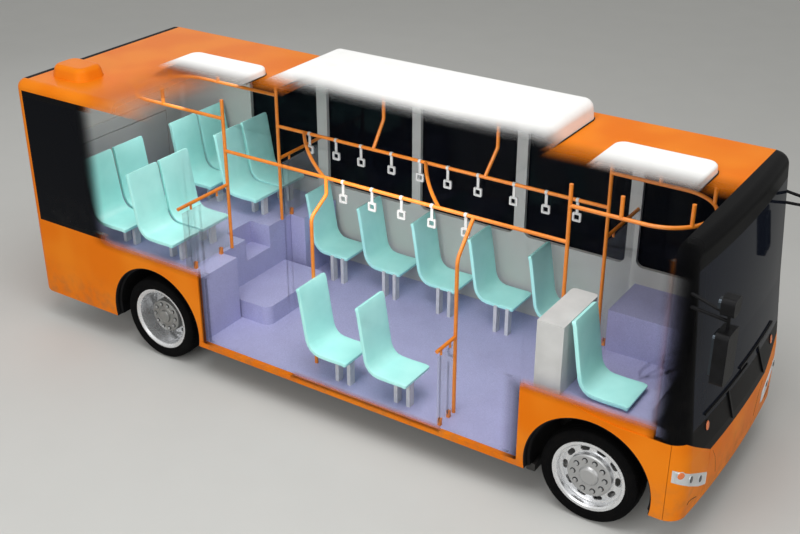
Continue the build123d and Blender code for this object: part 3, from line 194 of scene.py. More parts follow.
def grey_board(tree, place, first, second):
    """The two close tones of the grey lining board. Its pebble is about 1 mm, drawn at 4 mm so that it shows."""
    pebble = node(tree, "TexNoise", {"Vector": place, "Scale": 1 / 0.004})
    return node(tree, "Mix", {0: pebble, 6: first, 7: second}, **COLOURS)


def coach_enamel(name, walls, fade=()):
    """Coach enamel on moulded panels: a soft shine with a faint orange peel, road film low down, and the matt grey
    lining on the faces that look into the cabin. The peel is 1 to 2 mm, drawn at 6 mm so that it shows."""
    material, tree, place = started(name)
    height = node(tree, "SeparateXYZ", (place,), Z)
    drift = patches(tree, place, 0.5, 1.0, 0.35, 0.65)
    colour = node(tree, "Mix", {0: drift, 6: "#E3740A", 7: "#E98118"}, **COLOURS)
    low_down = node(tree, "MapRange", (height, 0.80, 0.30), **SMOOTH)
    splashes = patches(tree, place, 0.09, 4.0, 0.35, 0.75, 0.05, 0.4)
    film = node(tree, "Math", (low_down, splashes), operation="MULTIPLY")
    colour = node(tree, "Mix", {0: film, 6: colour, 7: "#8C6A4A"}, **COLOURS)
    inwards = looks_inwards(tree, place, walls)
    lining = grey_board(tree, place, "#B2B2AE", "#BEBEBA")
    colour = node(tree, "Mix", {0: inwards, 6: colour, 7: lining}, **COLOURS)
    black = merged(tree, "MAXIMUM", [within_arches(tree, place), black_edge(tree, place)])
    colour = node(tree, "Mix", {0: black, 6: colour, 7: "#101011"}, **COLOURS)
    dull = merged(tree, "MAXIMUM", [inwards, black, film])
    shader = {"Base Color": colour, "Roughness": node(tree, "MapRange", (dull, 0.0, 1.0, 0.42, 0.68), **SMOOTH),
              "Specular IOR Level": 0.05, "Coat Weight": 0.02, "Coat Roughness": 0.1,
              "Normal": skin(tree, place, 0.006, 0.0003, 0.25)}
    if fade:
        shader["Alpha"] = solid_share(tree, place, fade)
    return finished(material, tree, shader)


def privacy_glass(name, fade=(), clear="#090B10", low=1.20, high=2.465, half=2.0, backed=False, gloss=0.05):
    """Bonded dark privacy glass: nearly black, with a clear hard reflection, a flatter printed border round the
    panes, and a light film of dust towards the sill. The clear glass lies from low to high and half to each side. A
    backed pane has grey lining board behind it."""
    material, tree, place = started(name)
    axes = node(tree, "SeparateXYZ", (place,)).node.outputs
    reach = node(tree, "Math", (axes[Y],), operation="ABSOLUTE")
    edges = ((axes[Z], low + 0.005, low - 0.005), (axes[Z], high - 0.004, high + 0.004),
             (reach, half - 0.005, half + 0.005))
    border = merged(tree, "MAXIMUM", [node(tree, "MapRange", edge, **SMOOTH) for edge in edges])
    colour = node(tree, "Mix", {0: border, 6: clear, 7: "#0C0C0D"}, **COLOURS)
    low_down = node(tree, "MapRange", (axes[Z], 1.7, 1.0), **SMOOTH)
    dust = node(tree, "Math", (low_down, patches(tree, place, 0.12, 4.0, 0.4, 0.8, 0.0, 0.04)), operation="MULTIPLY")
    colour = node(tree, "Mix", {0: dust, 6: colour, 7: "#6E6A62"}, **COLOURS)
    rough = node(tree, "Math", (node(tree, "MapRange", (border, 0.0, 1.0, 0.06, 0.35), **SMOOTH), dust),
                 operation="ADD")
    if backed:
        inwards = looks_inwards(tree, place, (1, 1, 0))
        board_tones = grey_board(tree, place, "#B6B6B2", "#C2C2BE")
        colour = node(tree, "Mix", {0: inwards, 6: colour, 7: board_tones}, **COLOURS)
        board_rough = node(tree, "Math", (inwards, 0.66), operation="MULTIPLY")
        rough = node(tree, "Math", (rough, board_rough), operation="MAXIMUM")
    shader = {"Base Color": colour, "Roughness": rough, "IOR": 1.52, "Specular IOR Level": gloss,
              "Normal": skin(tree, place, 0.35, 0.0015, 0.2, 0.0)}
    if fade:
        shader["Alpha"] = solid_share(tree, place, fade)
    return finished(material, tree, shader)


def gel_coat():
    """White gel coat over glass fibre: soft gloss, a slow ripple from the mould, grey rain marks."""
    material, tree, place = started("gel_coat_white")
    marks = patches(tree, place, 0.15, 5.0, 0.45, 0.85, 0.0, 0.35)
    return finished(material, tree, {
        "Base Color": node(tree, "Mix", {0: marks, 6: "#FBFBF9", 7: "#E4E4DE"}, **COLOURS), "Roughness": 0.34,
        "Coat Weight": 0.3, "Normal": skin(tree, place, 0.12, 0.0012, 0.3, 1.0),
        "Alpha": solid_share(tree, place, POD_FADE)})


def sheet_vinyl():
    """Slip-resistant sheet vinyl, lavender with paler and darker chips 3 to 5 mm across. The undersides and the
    wheel boxes' insides are sprayed with black underseal."""
    material, tree, place = started("sheet_vinyl_lavender")
    chips = node(tree, "TexVoronoi", {"Vector": place, "Scale": 240.0}, "Color")
    pick = node(tree, "MapRange", (node(tree, "SeparateColor", (chips,)), 0.2, 0.9), **SMOOTH)
    lavender = node(tree, "Mix", {0: pick, 6: "#A3A3CA", 7: "#B6B7DC"}, **COLOURS)
    worn = patches(tree, place, 0.3, 3.0, 0.4, 0.8, 0.0, 0.35)
    lavender = node(tree, "Mix", {0: worn, 6: lavender, 7: "#9A97BE"}, **COLOURS)
    axes = node(tree, "SeparateXYZ", (place,)).node.outputs
    reach = node(tree, "Math", (axes[Y],), operation="ABSOLUTE")
    facing = node(tree, "TexCoord", output="Normal")
    upwards = node(tree, "SeparateXYZ", (facing,), Z)
    hidden = [node(tree, "Math", (upwards, -0.5), operation="LESS_THAN")]
    for aft, fore, inner, top in WHEEL_BOXES:
        hidden.append(merged(tree, "MULTIPLY", [within(tree, axes[X], aft, fore),
                                                node(tree, "Math", (axes[Z], top), operation="LESS_THAN"),
                                                node(tree, "Math", (reach, inner), operation="GREATER_THAN")]))
    hidden = merged(tree, "MAXIMUM", hidden)
    return finished(material, tree, {
        "Base Color": node(tree, "Mix", {0: hidden, 6: lavender, 7: "#141414"}, **COLOURS),
        "Roughness": node(tree, "MapRange", (hidden, 0.0, 1.0, 0.48, 0.8), **SMOOTH),
        "Normal": skin(tree, place, 0.003, 0.0006, 0.4)})


def plain_skin(name, light, dark, tone_size, detail, rough, size, depth, strength, coat=0.0):
    """A moulded or pressed skin in two close tones, with a fine even grain drawn at size metres so that it shows."""
    material, tree, place = started(name)
    tone = patches(tree, place, tone_size, detail, 0.3, 0.7)
    return finished(material, tree, {
        "Base Color": node(tree, "Mix", {0: tone, 6: light, 7: dark}, **COLOURS), "Roughness": rough,
        "Coat Weight": coat, "Normal": skin(tree, place, size, depth, strength)})


def painted(name, light, dark, rough, size, depth, metallic=0.0, coat=0.0, specular=0.5, fade=()):
    """A paint, coating or casting skin: two close tones, and a grain of the given size in metres."""
    material, tree, place = started(name)
    tone = patches(tree, place, size * 30, 4.0, 0.3, 0.7)
    shader = {"Base Color": node(tree, "Mix", {0: tone, 6: light, 7: dark}, **COLOURS), "Roughness": rough,
              "Metallic": metallic, "Coat Weight": coat, "Specular IOR Level": specular,
              "Normal": skin(tree, place, size, depth, 0.5, 3.0)}
    if fade:
        shader["Alpha"] = solid_share(tree, place, fade)
    return finished(material, tree, shader)


def clear_sheet():
    """Clear polycarbonate sheet: it hardly shows face on, and a painted sheen makes it whiter and more solid where it
    is seen at a slant.
    """
    material, tree, place = started("clear_polycarbonate_sheet")
    # Painted sheen: how squarely the sheet is seen sets how white and solid it looks
    edge = node(tree, "LayerWeight", {"Blend": 0.35}, "Facing")
    scuff = patches(tree, place, 0.05, 5.0, 0.45, 0.85, 0.0, 0.03)
    opacity_with_painted_sheen = node(tree, "MapRange", (edge, 0.1, 1.0, 0.10, 0.22), **SMOOTH)
    return finished(material, tree, {
        "Base Color": node(tree, "Mix", {0: scuff, 6: "#E6EAEE", 7: "#F4F6F8"}, **COLOURS), "Roughness": 0.2,
        "IOR": 1.58, "Alpha": node(tree, "Math", (opacity_with_painted_sheen, scuff), operation="ADD")})


def turned_alloy(name, axle_x):
    """Forged alloy, turned and polished: fine rings round the axle, drawn 3 mm apart so that they show, a duller
    boss in the middle, and brake dust in soft patches."""
    material, tree, place = started(name)
    about = about_axle(tree, place, axle_x, WHEEL_Z)
    radius = node(tree, "VectorMath", (about,), "Value", operation="LENGTH")
    phase = node(tree, "Math", (radius, 2 * math.pi / 0.003), operation="MULTIPLY")
    rings = node(tree, "Math", (phase,), operation="SINE")
    dust = patches(tree, place, 0.09, 2.0, 0.4, 0.8, 0.0, 0.15)
    boss = node(tree, "MapRange", (radius, 0.196, 0.190), **SMOOTH)
    colour = node(tree, "Mix", {0: dust, 6: "#E4E5E7", 7: "#B4B2AE"}, **COLOURS)
    duller = node(tree, "Math", (boss, 0.6), operation="MULTIPLY")
    rough = node(tree, "Math", (dust, 0.3, 0.26), operation="MULTIPLY_ADD")
    return finished(material, tree, {
        "Base Color": node(tree, "Mix", {0: duller, 6: colour, 7: "#8A8A88"}, **COLOURS), "Metallic": 0.8,
        "Roughness": node(tree, "Math", (boss, 0.12, rough), operation="MULTIPLY_ADD"),
        "Normal": node(tree, "Bump", {"Height": rings, "Distance": 0.0001, "Strength": 0.05})})


def road_rubber(name, axle_x):
    """Tyre rubber: matt black, cross cuts in the tread, a fine radial ribbing and paler dust on the sidewall."""
    material, tree, place = started(name)
    about = about_axle(tree, place, axle_x, WHEEL_Z)
    radius = node(tree, "VectorMath", (about,), "Value", operation="LENGTH")
    axes = node(tree, "SeparateXYZ", (about,)).node.outputs
    turn = node(tree, "Math", (axes[Z], axes[X]), operation="ARCTAN2")
    across = node(tree, "SeparateXYZ", (place,), Y)
    slant = node(tree, "Math", (turn, 72.0, node(tree, "Math", (across, 60.0), operation="MULTIPLY")),
                 operation="MULTIPLY_ADD")
    cuts = node(tree, "MapRange", (node(tree, "Math", (slant,), operation="SINE"), -0.75, -0.45), **SMOOTH)
    ribs = node(tree, "Math", (node(tree, "Math", (turn, 180.0), operation="MULTIPLY"),), operation="SINE")
    on_tread = node(tree, "MapRange", (radius, 0.410, 0.416), **SMOOTH)
    pattern = node(tree, "Mix", {0: on_tread, 2: node(tree, "Math", (ribs, 0.08), operation="MULTIPLY"), 3: cuts},
                   data_type="FLOAT")
    dust = patches(tree, place, 0.07, 5.0, 0.35, 0.8, 0.0, 0.5)
    return finished(material, tree, {
        "Base Color": node(tree, "Mix", {0: dust, 6: "#060607", 7: "#110F0E"}, **COLOURS), "Roughness": 0.8,
        "Specular IOR Level": 0.06,
        "Normal": node(tree, "Bump", {"Height": pattern, "Distance": 0.005, "Strength": 0.8})})


def fluted(tree, place, flutes):
    """Waves across a lens whose upright flutes lie flutes metres apart."""
    across = node(tree, "SeparateXYZ", (place,), Y)
    phase = node(tree, "Math", (across, 2 * math.pi / flutes), operation="MULTIPLY")
    return node(tree, "Math", (phase,), operation="SINE")


def lamp_plastic(name, colour, flutes):
    """Moulded acrylic lamp lens with upright flutes over its reflector; along the flutes its colour is lightened with
    paler lines of painted highlight.
    """
    material, tree, place = started(name)
    waves = fluted(tree, place, flutes)
    # Painted highlight: the waves of the flutes lighten the colour towards white
    tone = node(tree, "MapRange", (waves, -1.0, 1.0, 0.0, 0.08), **SMOOTH)
    return finished(material, tree, {
        "Base Color": node(tree, "Mix", {0: tone, 6: colour, 7: "#FFFFFF"}, **COLOURS), "Roughness": 0.2,
        "Coat Weight": 0.1, "Normal": node(tree, "Bump", {"Height": waves, "Distance": 0.001, "Strength": 0.4})})


def tail_lens():
    """One acrylic lens in three colours: red above and below, amber, and clear for reversing, with fine flutes."""
    material, tree, place = started("acrylic_tail_lens")
    height = node(tree, "SeparateXYZ", (place,), Z)
    colour = node(tree, "Mix", {0: within(tree, height, 0.97, 1.06), 6: "#A81410", 7: "#E08418"}, **COLOURS)
    colour = node(tree, "Mix", {0: within(tree, height, 0.88, 0.97), 6: colour, 7: "#E4E4E0"}, **COLOURS)
    waves = fluted(tree, place, 0.008)
    return finished(material, tree, {
        "Base Color": colour, "Roughness": 0.14, "Coat Weight": 0.5,
        "Normal": node(tree, "Bump", {"Height": waves, "Distance": 0.001, "Strength": 0.35})})


enamel_panels = coach_enamel("coach_enamel_orange", (1, 1, 0))
enamel_hump = coach_enamel("coach_enamel_orange_hump", (0, 0, 1))
enamel_left = coach_enamel("coach_enamel_orange_left", (0, 1, 0))
enamel_right = coach_enamel("coach_enamel_orange_right", (0, 1, 0), SIDE_FADE)
enamel_roof = coach_enamel("coach_enamel_orange_roof", (0, 1, 1), ROOF_FADE)
glass_sides = privacy_glass("privacy_glass_sides", GLASS_FADE)
glass_front = privacy_glass("tinted_windscreen", CORNER_FADE, "#171B25", 1.11, 2.43, 1.01, gloss=0.02)
glass_tail = privacy_glass("privacy_glass_tail", backed=True)
gel = gel_coat()
vinyl = sheet_vinyl()
# Injection-moulded polypropylene: satin, with a spark grain. Laminate board: matt, with a fine pebble
shells = plain_skin("moulded_polypropylene_mint", "#B2F6F0", "#BCFCF6", tone_size=0.2, detail=2.0, rough=0.36,
                    size=0.0025, depth=0.0003, strength=0.35, coat=0.15)
board = plain_skin("laminate_board_grey", "#C4C4C2", "#D0D0CE", tone_size=0.25, detail=3.0, rough=0.5,
                   size=0.002, depth=0.0003, strength=0.4)
sheet = clear_sheet()
# Powder coat and epoxy on tube: even and softly shining. Chassis and case paint: flat, with a rougher skin
rail_coat = painted("powder_coat_orange", "#E47E1E", "#EA8A2C", 0.38, 0.002, 0.0002, coat=0.2)
leg_paint = painted("epoxy_paint_grey", "#C2C4C8", "#CED0D4", 0.42, 0.002, 0.0002)
chassis_paint = painted("chassis_paint_black", "#151515", "#23211F", 0.6, 0.004, 0.0006)
case_paint = painted("case_paint_grey", "#6E7276", "#7E8286", 0.5, 0.004, 0.0004)
plate_white = painted("blank_plate_white", "#E6E6E2", "#EEEEEA", 0.4, 0.003, 0.0002)
# Castings: the sand's grain, under 1 mm, is drawn at 2 to 3 mm so that it shows
cast_skin = painted("sand_cast_steel", "#242426", "#302F2D", 0.65, 0.003, 0.001, 0.6)
hub_skin = painted("cast_alloy_hub", "#8E8E8C", "#9C9C9A", 0.42, 0.002, 0.0003, 0.8)
# Black mouldings: a matt leather grain, drawn at 2.5 mm so that it shows
abs_black = painted("grained_abs_black", "#09090A", "#111113", 0.5, 0.0025, 0.0006, specular=0.12)
wheel_skin = painted("foamed_urethane_black", "#0E0E10", "#161618", 0.55, 0.0025, 0.0006, specular=0.25,
                     fade=WHEEL_FADE)
dash_skin = painted("dashboard_skin_black", "#0E0E10", "#161618", 0.55, 0.0025, 0.0006, specular=0.25, fade=DASH_FADE)
# Rubber: dead matt on the bellows, a little smoother on the extruded seals
bellows = painted("bellows_rubber_black", "#121212", "#1E1D1C", 0.8, 0.004, 0.0008)
seal_rubber, seal_faded, seal_pods = [
    painted("seal_rubber_black" + part, "#0C0C0D", "#161617", 0.7, 0.003, 0.0004, specular=0.2, fade=fade)
    for part, fade in (("", ()), ("_right", GLASS_FADE), ("_pods", POD_FADE))]
# Bright parts: chrome fogged on plastic, zinc plate with a faint grain, and silver behind the mirrors' glass
chrome = painted("vacuum_chrome_bowl", "#D2D6D8", "#E6E8EA", 0.3, 0.01, 0.0001, 0.7)
zinc = painted("zinc_plate_bright", "#B8BABC", "#C8CACC", 0.3, 0.002, 0.0002, 1.0)
silvered = painted("silvered_mirror_glass", "#34393E", "#3E4348", 0.25, 0.05, 0.0001, 1.0)
amber_lens = lamp_plastic("acrylic_lens_amber", "#E06A04", 0.006)
dark_lens = lamp_plastic("projector_lens_dark", "#1A1E24", 0.02)
alloy = {end: turned_alloy("turned_alloy_" + end, axle_x) for end, axle_x in AXLES}
rubber = {end: road_rubber("road_rubber_" + end, axle_x) for end, axle_x in AXLES}

FRAME_FINISHES = [
    (enamel_left, ("side_left",)), (enamel_right, ("side_right",)), (enamel_roof, ("roof",)),
    (enamel_panels, ("rear_wall", "rear_hatch", "front_panels")), (enamel_hump, ("roof_hump",)),
    (glass_sides, ("side_glass",)), (glass_front, ("windscreen", "front_frame")), (glass_tail, ("glass_rear",)),
    (gel, ("roof_pods",)), (abs_black, ("mirrors", "wipers")), (dash_skin, ("dashboard",)),
    (wheel_skin, ("steering_wheel",)), (chrome, ("headlamps",)), (tail_lens(), ("tail_lamps",)),
    (vinyl, ("floor", "cab_floor", "rear_platform", "step_box")), (chassis_paint, ("underframe",)),
    (cast_skin, ("front_axle", "rear_axle", "knuckle_left", "knuckle_right")), (bellows, ("air_springs",)),
    (shells, ("passenger_seats", "driver_seat")), (leg_paint, ("seat_legs",)),
    (rail_coat, ("grab_poles", "ceiling_rails", "branch_rails", "door_stanchions", "rail_loops", "guard_rails")),
    (sheet, ("clear_screens",)), (board, ("strap_hangers", "cabinet")), (case_paint, ("battery_pack", "drive_motor")),
    (alloy["front"], ("front_rim_left", "front_rim_right")), (alloy["rear"], ("rear_rims_left", "rear_rims_right"))]
for leaf, fade in DOOR_FADES.items():
    FRAME_FINISHES.append((privacy_glass("privacy_glass_" + leaf, fade, low=0.0), (leaf,)))
for finish, names in FRAME_FINISHES:
    for name in names:
        nodes[name].data.materials.clear()
        nodes[name].data.materials.append(finish)


# Modelling
def only(*pieces):
    """Leaves just these pieces selected, the first of them active."""
    bpy.ops.object.select_all(action="DESELECT")
    for piece in pieces:
        piece.select_set(True)
    bpy.context.view_layer.objects.active = pieces[0]


def settled(piece, name, finish, body="body", bevel=0.0, segments=2, angle=35):
    """Puts the piece's place in its mesh, rounds its edges, and gives it its name, finish and body."""
    only(piece)
    bpy.ops.object.transform_apply(location=True, rotation=True, scale=True)
    if bevel:
        rounding = piece.modifiers.new("rounding", "BEVEL")
        rounding.width = bevel
        rounding.segments = segments
        bpy.ops.object.modifier_apply(modifier=rounding.name)
    bpy.ops.object.shade_smooth_by_angle(angle=math.radians(angle))
    piece.name = piece.data.name = name
    piece.data.materials.clear()
    piece.data.materials.append(finish)
    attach(piece, body)
    return piece


def walled(piece, thickness):
    """Gives an open skin its wall, on the inner side."""
    wall = piece.modifiers.new("wall", "SOLIDIFY")
    wall.thickness = thickness
    bpy.ops.object.modifier_apply(modifier=wall.name)
    return piece


def cuboid(low, high):
    """A block between two corners, as a start."""
    bpy.ops.object.select_all(action="DESELECT")
    middle = [(a + b) / 2 for a, b in zip(low, high)]
    bpy.ops.mesh.primitive_cube_add(size=1, location=middle, scale=[b - a for a, b in zip(low, high)])
    bpy.ops.object.transform_apply(location=True, rotation=True, scale=True)
    return bpy.context.object


def disc(place, facing, radius, depth, corners=24, stretch=(1, 1)):
    """A short round or oval bar on a surface, its outer end towards facing."""
    bpy.ops.object.select_all(action="DESELECT")
    turn = Vector(facing).to_track_quat("Z", "Y").to_euler()
    bpy.ops.mesh.primitive_cylinder_add(vertices=corners, radius=radius, depth=depth, location=place, rotation=turn)
    made = bpy.context.object
    made.scale = (stretch[0], stretch[1], 1)
    bpy.ops.object.transform_apply(location=True, rotation=True, scale=True)
    return made


def joined(pieces):
    only(*pieces)
    if len(pieces) > 1:
        bpy.ops.object.join()
    return bpy.context.object


def drawn_out(points):
    """Starts a piece as a line drawn out from one corner through the points, and stays in edit mode."""
    bpy.ops.object.select_all(action="DESELECT")
    bpy.ops.mesh.primitive_plane_add(size=0.01, location=points[0])
    bpy.ops.object.mode_set(mode="EDIT")
    bpy.ops.mesh.merge(type="CENTER")
    for near, far in zip(points, points[1:]):
        bpy.ops.mesh.extrude_vertices_move(TRANSFORM_OT_translate={"value": Vector(far) - Vector(near)})


def spun(points, centre, steps, turn=2 * math.pi):
    """A line through (x, y, z) points, spun round a crosswise axle."""
    drawn_out(points)
    bpy.ops.mesh.select_all(action="SELECT")
    bpy.ops.mesh.spin(steps=steps, angle=turn, center=centre, axis=(0, 1, 0))
    bpy.ops.mesh.select_all(action="SELECT")
    bpy.ops.mesh.remove_doubles(threshold=0.00002)
    bpy.ops.mesh.normals_make_consistent(inside=False)
    bpy.ops.object.mode_set(mode="OBJECT")
    made = bpy.context.object
    bpy.ops.object.transform_apply(location=True, rotation=True, scale=True)
    return made


def over_arch(line, axle_x, sign, steps):
    """A line of (radius, distance across) spun over a wheel arch."""
    points = [(axle_x + radius * math.cos(ARCH_START), sign * across, ARCH_Z + radius * math.sin(ARCH_START))
              for radius, across in line]
    return spun(points, (axle_x, 0, ARCH_Z), steps, ARCH_TURN)


def strand(points, radius):
    """A thin round bar through the points, for joints, edges and gaskets."""
    drawn_out(points)
    bpy.ops.object.mode_set(mode="OBJECT")
    bpy.ops.object.convert(target="CURVE")
    made = bpy.context.object
    made.data.bevel_depth = radius
    made.data.bevel_resolution = 1
    made.data.use_fill_caps = True
    bpy.ops.object.convert(target="MESH")
    bpy.ops.object.transform_apply(location=True, rotation=True, scale=True)
    return bpy.context.object


def copied(piece, shift):
    """A copy with its own mesh, moved by shift."""
    only(piece)
    bpy.ops.object.duplicate(linked=False)
    bpy.ops.transform.translate(value=shift)
    bpy.ops.object.transform_apply(location=True, rotation=True, scale=True)
    return bpy.context.object


def touched(name, start, towards):
    """Where a line first meets a node of the frame, and how the surface faces there."""
    return nodes[name].ray_cast(Vector(start), Vector(towards))[1:3]


# The camera's place, its aim, and its focal length in pixels of the 800 by 534 picture
CAMERA = Vector((5.5579, -8.3019, 6.2668))
HEADING, DIP = math.radians(123.2348), math.radians(27.3551)
AIM = Vector((math.cos(DIP) * math.cos(HEADING), math.cos(DIP) * math.sin(HEADING), -math.sin(DIP)))
RIGHTWARDS = Vector((math.sin(HEADING), -math.cos(HEADING), 0))
FOCAL = 1183.69
MIDDLE_ACROSS, MIDDLE_DOWN = 400, 267


def pictured(name, across, down, sign=-1):
    """Where a point of the picture lies on a node, and its facing; sign 1 gives the same on the left."""
    towards = (AIM * FOCAL + RIGHTWARDS * (across - MIDDLE_ACROSS)
               - RIGHTWARDS.cross(AIM) * (down - MIDDLE_DOWN))
    place, facing = touched(name, CAMERA, towards.normalized())
    return Vector((place.x, -sign * place.y, place.z)), Vector((facing.x, -sign * facing.y, facing.z))


# Tyres: half of the section, as (radius, distance across from the middle), from a bead to the tread
TYRE_HALF_PROFILE = ((0.2925, 0.0940), (0.3230, 0.0960), (0.3235, 0.1070), (0.3400, 0.1165), (0.3560, 0.1205),
                     (0.3600, 0.1200), (0.3640, 0.1220), (0.3720, 0.1225), (0.3900, 0.1215), (0.4060, 0.1150),
                     (0.4160, 0.1065), (0.4205, 0.1010), (0.4240, 0.0740), (0.4120, 0.0725), (0.4120, 0.0655),
                     (0.4250, 0.0640), (0.4268, 0.0270), (0.4140, 0.0255), (0.4140, 0.0185), (0.4278, 0.0170))


def tyre(axle_x, middle_y):
    line = [(radius, across) for radius, across in TYRE_HALF_PROFILE]
    line += [(radius, -across) for radius, across in reversed(TYRE_HALF_PROFILE)]
    line.append(line[0])
    points = [(axle_x, middle_y + across, WHEEL_Z + radius) for radius, across in line]
    return spun(points, (axle_x, middle_y, WHEEL_Z), 64)


for side, sign in SIDES:
    front = settled(tyre(FRONT_AXLE_X, sign * TYRE_Y), "tyre_front_" + side, rubber["front"],
                    "wheel_front_" + side, angle=40)
    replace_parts(front, "front_tyre_" + side)
    outer = tyre(REAR_AXLE_X, sign * TYRE_Y)
    inner = copied(outer, (0, -sign * 2 * TWIN_STEP, 0))
    twin = settled(joined([outer, inner]), "tyres_rear_" + side, rubber["rear"],
                   "wheels_rear_" + side, angle=40)
    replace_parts(twin, "rear_tyres_" + side)

# Tyre valves through the rims: a stem and its cap, out to a distance across
VALVE_CIRCLE = 0.262
for end, body, axle_x, reach in (("front", "wheel_front_", FRONT_AXLE_X, 1.062),
                                 ("rear", "wheels_rear_", REAR_AXLE_X, 1.02)):
    for side, sign in SIDES:
        stem, cap = [disc((axle_x + VALVE_CIRCLE, sign * (reach + out), WHEEL_Z), (0, sign, 0), radius, length, 12)
                     for out, radius, length in ((-0.02, 0.006, 0.05), (0.008, 0.008, 0.016))]
        settled(joined([stem, cap]), "valve_" + end + "_" + side, zinc, body + side, 0.001)

# Hub covers of the twin wheels: drums that stand out of the dish, as (radius, distance across)
HUB_COVER = ((0.0, 1.048), (0.052, 1.048), (0.060, 1.045), (0.064, 1.036), (0.066, 1.027), (0.088, 1.026),
             (0.091, 1.030), (0.097, 1.030), (0.100, 1.026), (0.158, 1.024), (0.166, 1.020), (0.170, 1.010),
             (0.172, 0.880), (0.180, 0.856), (0.0, 0.856))
for side, sign in SIDES:
    points = [(REAR_AXLE_X, sign * across, WHEEL_Z + radius) for radius, across in HUB_COVER]
    settled(spun(points, (REAR_AXLE_X, 0, WHEEL_Z), 48), "hub_cover_" + side, hub_skin,
            "wheels_rear_" + side)

# Hexagon nuts on the ten studs of a wheel, each on a dark washer that is painted shade round the nut: the studs'
# circle, distance across, corner radius
for end, body, axle_x, circle, reach, corner in (("front", "wheel_front_", FRONT_AXLE_X, 0.140, 1.0790, 0.0195),
                                                 ("rear", "wheels_rear_", REAR_AXLE_X, 0.129, 1.0255, 0.0150)):
    for side, sign in SIDES:
        shade_washers, nuts = [], []
        for stud in range(10):
            turn = math.radians(36 * stud)
            stud_x, stud_z = axle_x + circle * math.cos(turn), WHEEL_Z + circle * math.sin(turn)
            # Painted shade: the dark washer paints the shade round each nut
            shade_washers.append(disc((stud_x, sign * reach, stud_z), (0, sign, 0), corner + 0.005, 0.003, 20))
            nuts.append(disc((stud_x, sign * (reach + 0.0045), stud_z), (0, sign, 0), corner, 0.009, 6))
        settled(joined(shade_washers), "wheel_shade_washers_" + end + "_" + side, cast_skin, body + side)
        settled(joined(nuts), "wheel_nuts_" + end + "_" + side, zinc, body + side, 0.0015)

# Rubber edging round the wheel arches
EDGING = ((0.5548, 1.1495), (0.5500, 1.1495), (0.5480, 1.1440), (0.5480, 1.1180), (0.5548, 1.1180), (0.5548, 1.1495))
for side, sign in SIDES:
    for end, axle_x in AXLES:
        settled(over_arch(EDGING, axle_x, sign, 48), "arch_edging_" + end + "_" + side, seal_rubber)

# Moulded seat shells. The line runs from the front lip over the cushion and up the back, as (behind the lip, above)
SEAT_LINE = ((0.0, -0.009), (-0.046, 0.0), (-0.180, -0.003), (-0.292, 0.0), (-0.330, 0.008), (-0.361, 0.029),
             (-0.384, 0.060), (-0.399, 0.098), (-0.420, 0.220), (-0.440, 0.350), (-0.461, 0.480), (-0.474, 0.560),
             (-0.490, 0.603))
SEAT_SIDE = 0.199
SEAT_CORNER = 0.016
SEAT_WALL = 0.034
# The node a row belongs to, the height of its cushions, their middles across, and their front lips
SEAT_ROWS = (("passenger_seats", 0.670, (0.825,), (1.668, 1.013, 0.358, -0.297, -0.952)),
             ("passenger_seats", 0.670, (-0.880,), (0.885, 0.245)),
             ("passenger_seats", 1.285, (0.842, 0.410, -0.410, -0.842), (-1.795, -2.415)),
             ("driver_seat", 1.100, (-0.747,), (2.852,)))


def seat_shell():
    """A bent shell at the origin: a strip drawn back and up along the seat's line, hollowed across, given its wall."""
    drawn_out([(0, (step / 4 - 1) * SEAT_SIDE, SEAT_LINE[0][1]) for step in range(9)])
    bpy.ops.mesh.select_all(action="SELECT")
    for near, far in zip(SEAT_LINE, SEAT_LINE[1:]):
        bpy.ops.mesh.extrude_edges_move(TRANSFORM_OT_translate={"value": (far[0] - near[0], 0, far[1] - near[1])})
    bpy.ops.object.mode_set(mode="OBJECT")
    made = bpy.context.object
    bpy.ops.object.transform_apply(location=True, rotation=True, scale=True)
    for point in made.data.vertices:
        at_end = point.co.x > -0.001 or point.co.z > 0.602
        point.select = abs(abs(point.co.y) - SEAT_SIDE) < 0.001 and at_end
    bpy.ops.object.mode_set(mode="EDIT")
    bpy.ops.mesh.select_mode(type="VERT")
    bpy.ops.mesh.bevel(offset=SEAT_CORNER, segments=3, affect="VERTICES")
    bpy.ops.mesh.select_all(action="SELECT")
    bpy.ops.mesh.normals_make_consistent(inside=False)
    bpy.ops.object.mode_set(mode="OBJECT")
    flat = max(made.data.polygons, key=lambda face: abs(face.normal.z))
    if flat.normal.z < 0:
        bpy.ops.object.mode_set(mode="EDIT")
        bpy.ops.mesh.flip_normals()
        bpy.ops.object.mode_set(mode="OBJECT")
    for reach in (0.11, 0.06):
        for point in made.data.vertices:
            point.select = abs(point.co.y) < reach and point.co.x < -0.03
        bpy.ops.object.mode_set(mode="EDIT")
        bpy.ops.transform.shrink_fatten(value=-0.005)
        bpy.ops.object.mode_set(mode="OBJECT")
    return walled(made, SEAT_WALL)


model_seat = seat_shell()
for carrier in ("passenger_seats", "driver_seat"):
    row = [copied(model_seat, (front_x, middle_y, height)) for seats, height, middles, fronts in SEAT_ROWS
           if seats == carrier for middle_y in middles for front_x in fronts]
    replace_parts(settled(joined(row), carrier + "_moulded", shells, bevel=0.008, segments=3, angle=50),
                carrier)
bpy.data.objects.remove(model_seat)

# Black liners in the wheel boxes: half a drum over each wheel with a flange behind the panel, and an inner wall
# behind the twin wheels
LINER_FLANGE = ((0.582, 1.104), (0.538, 1.100), (0.530, 1.090))
for end, axle_x, drum_line in (("front", FRONT_AXLE_X, ((0.530, 0.530),)),
                               ("rear", REAR_AXLE_X, ((0.530, 0.562), (0.300, 0.562)))):
    for side, sign in SIDES:
        drum = walled(over_arch(LINER_FLANGE + drum_line, axle_x, sign, 40), 0.005)
        settled(drum, "arch_liner_" + end + "_" + side, abs_black)

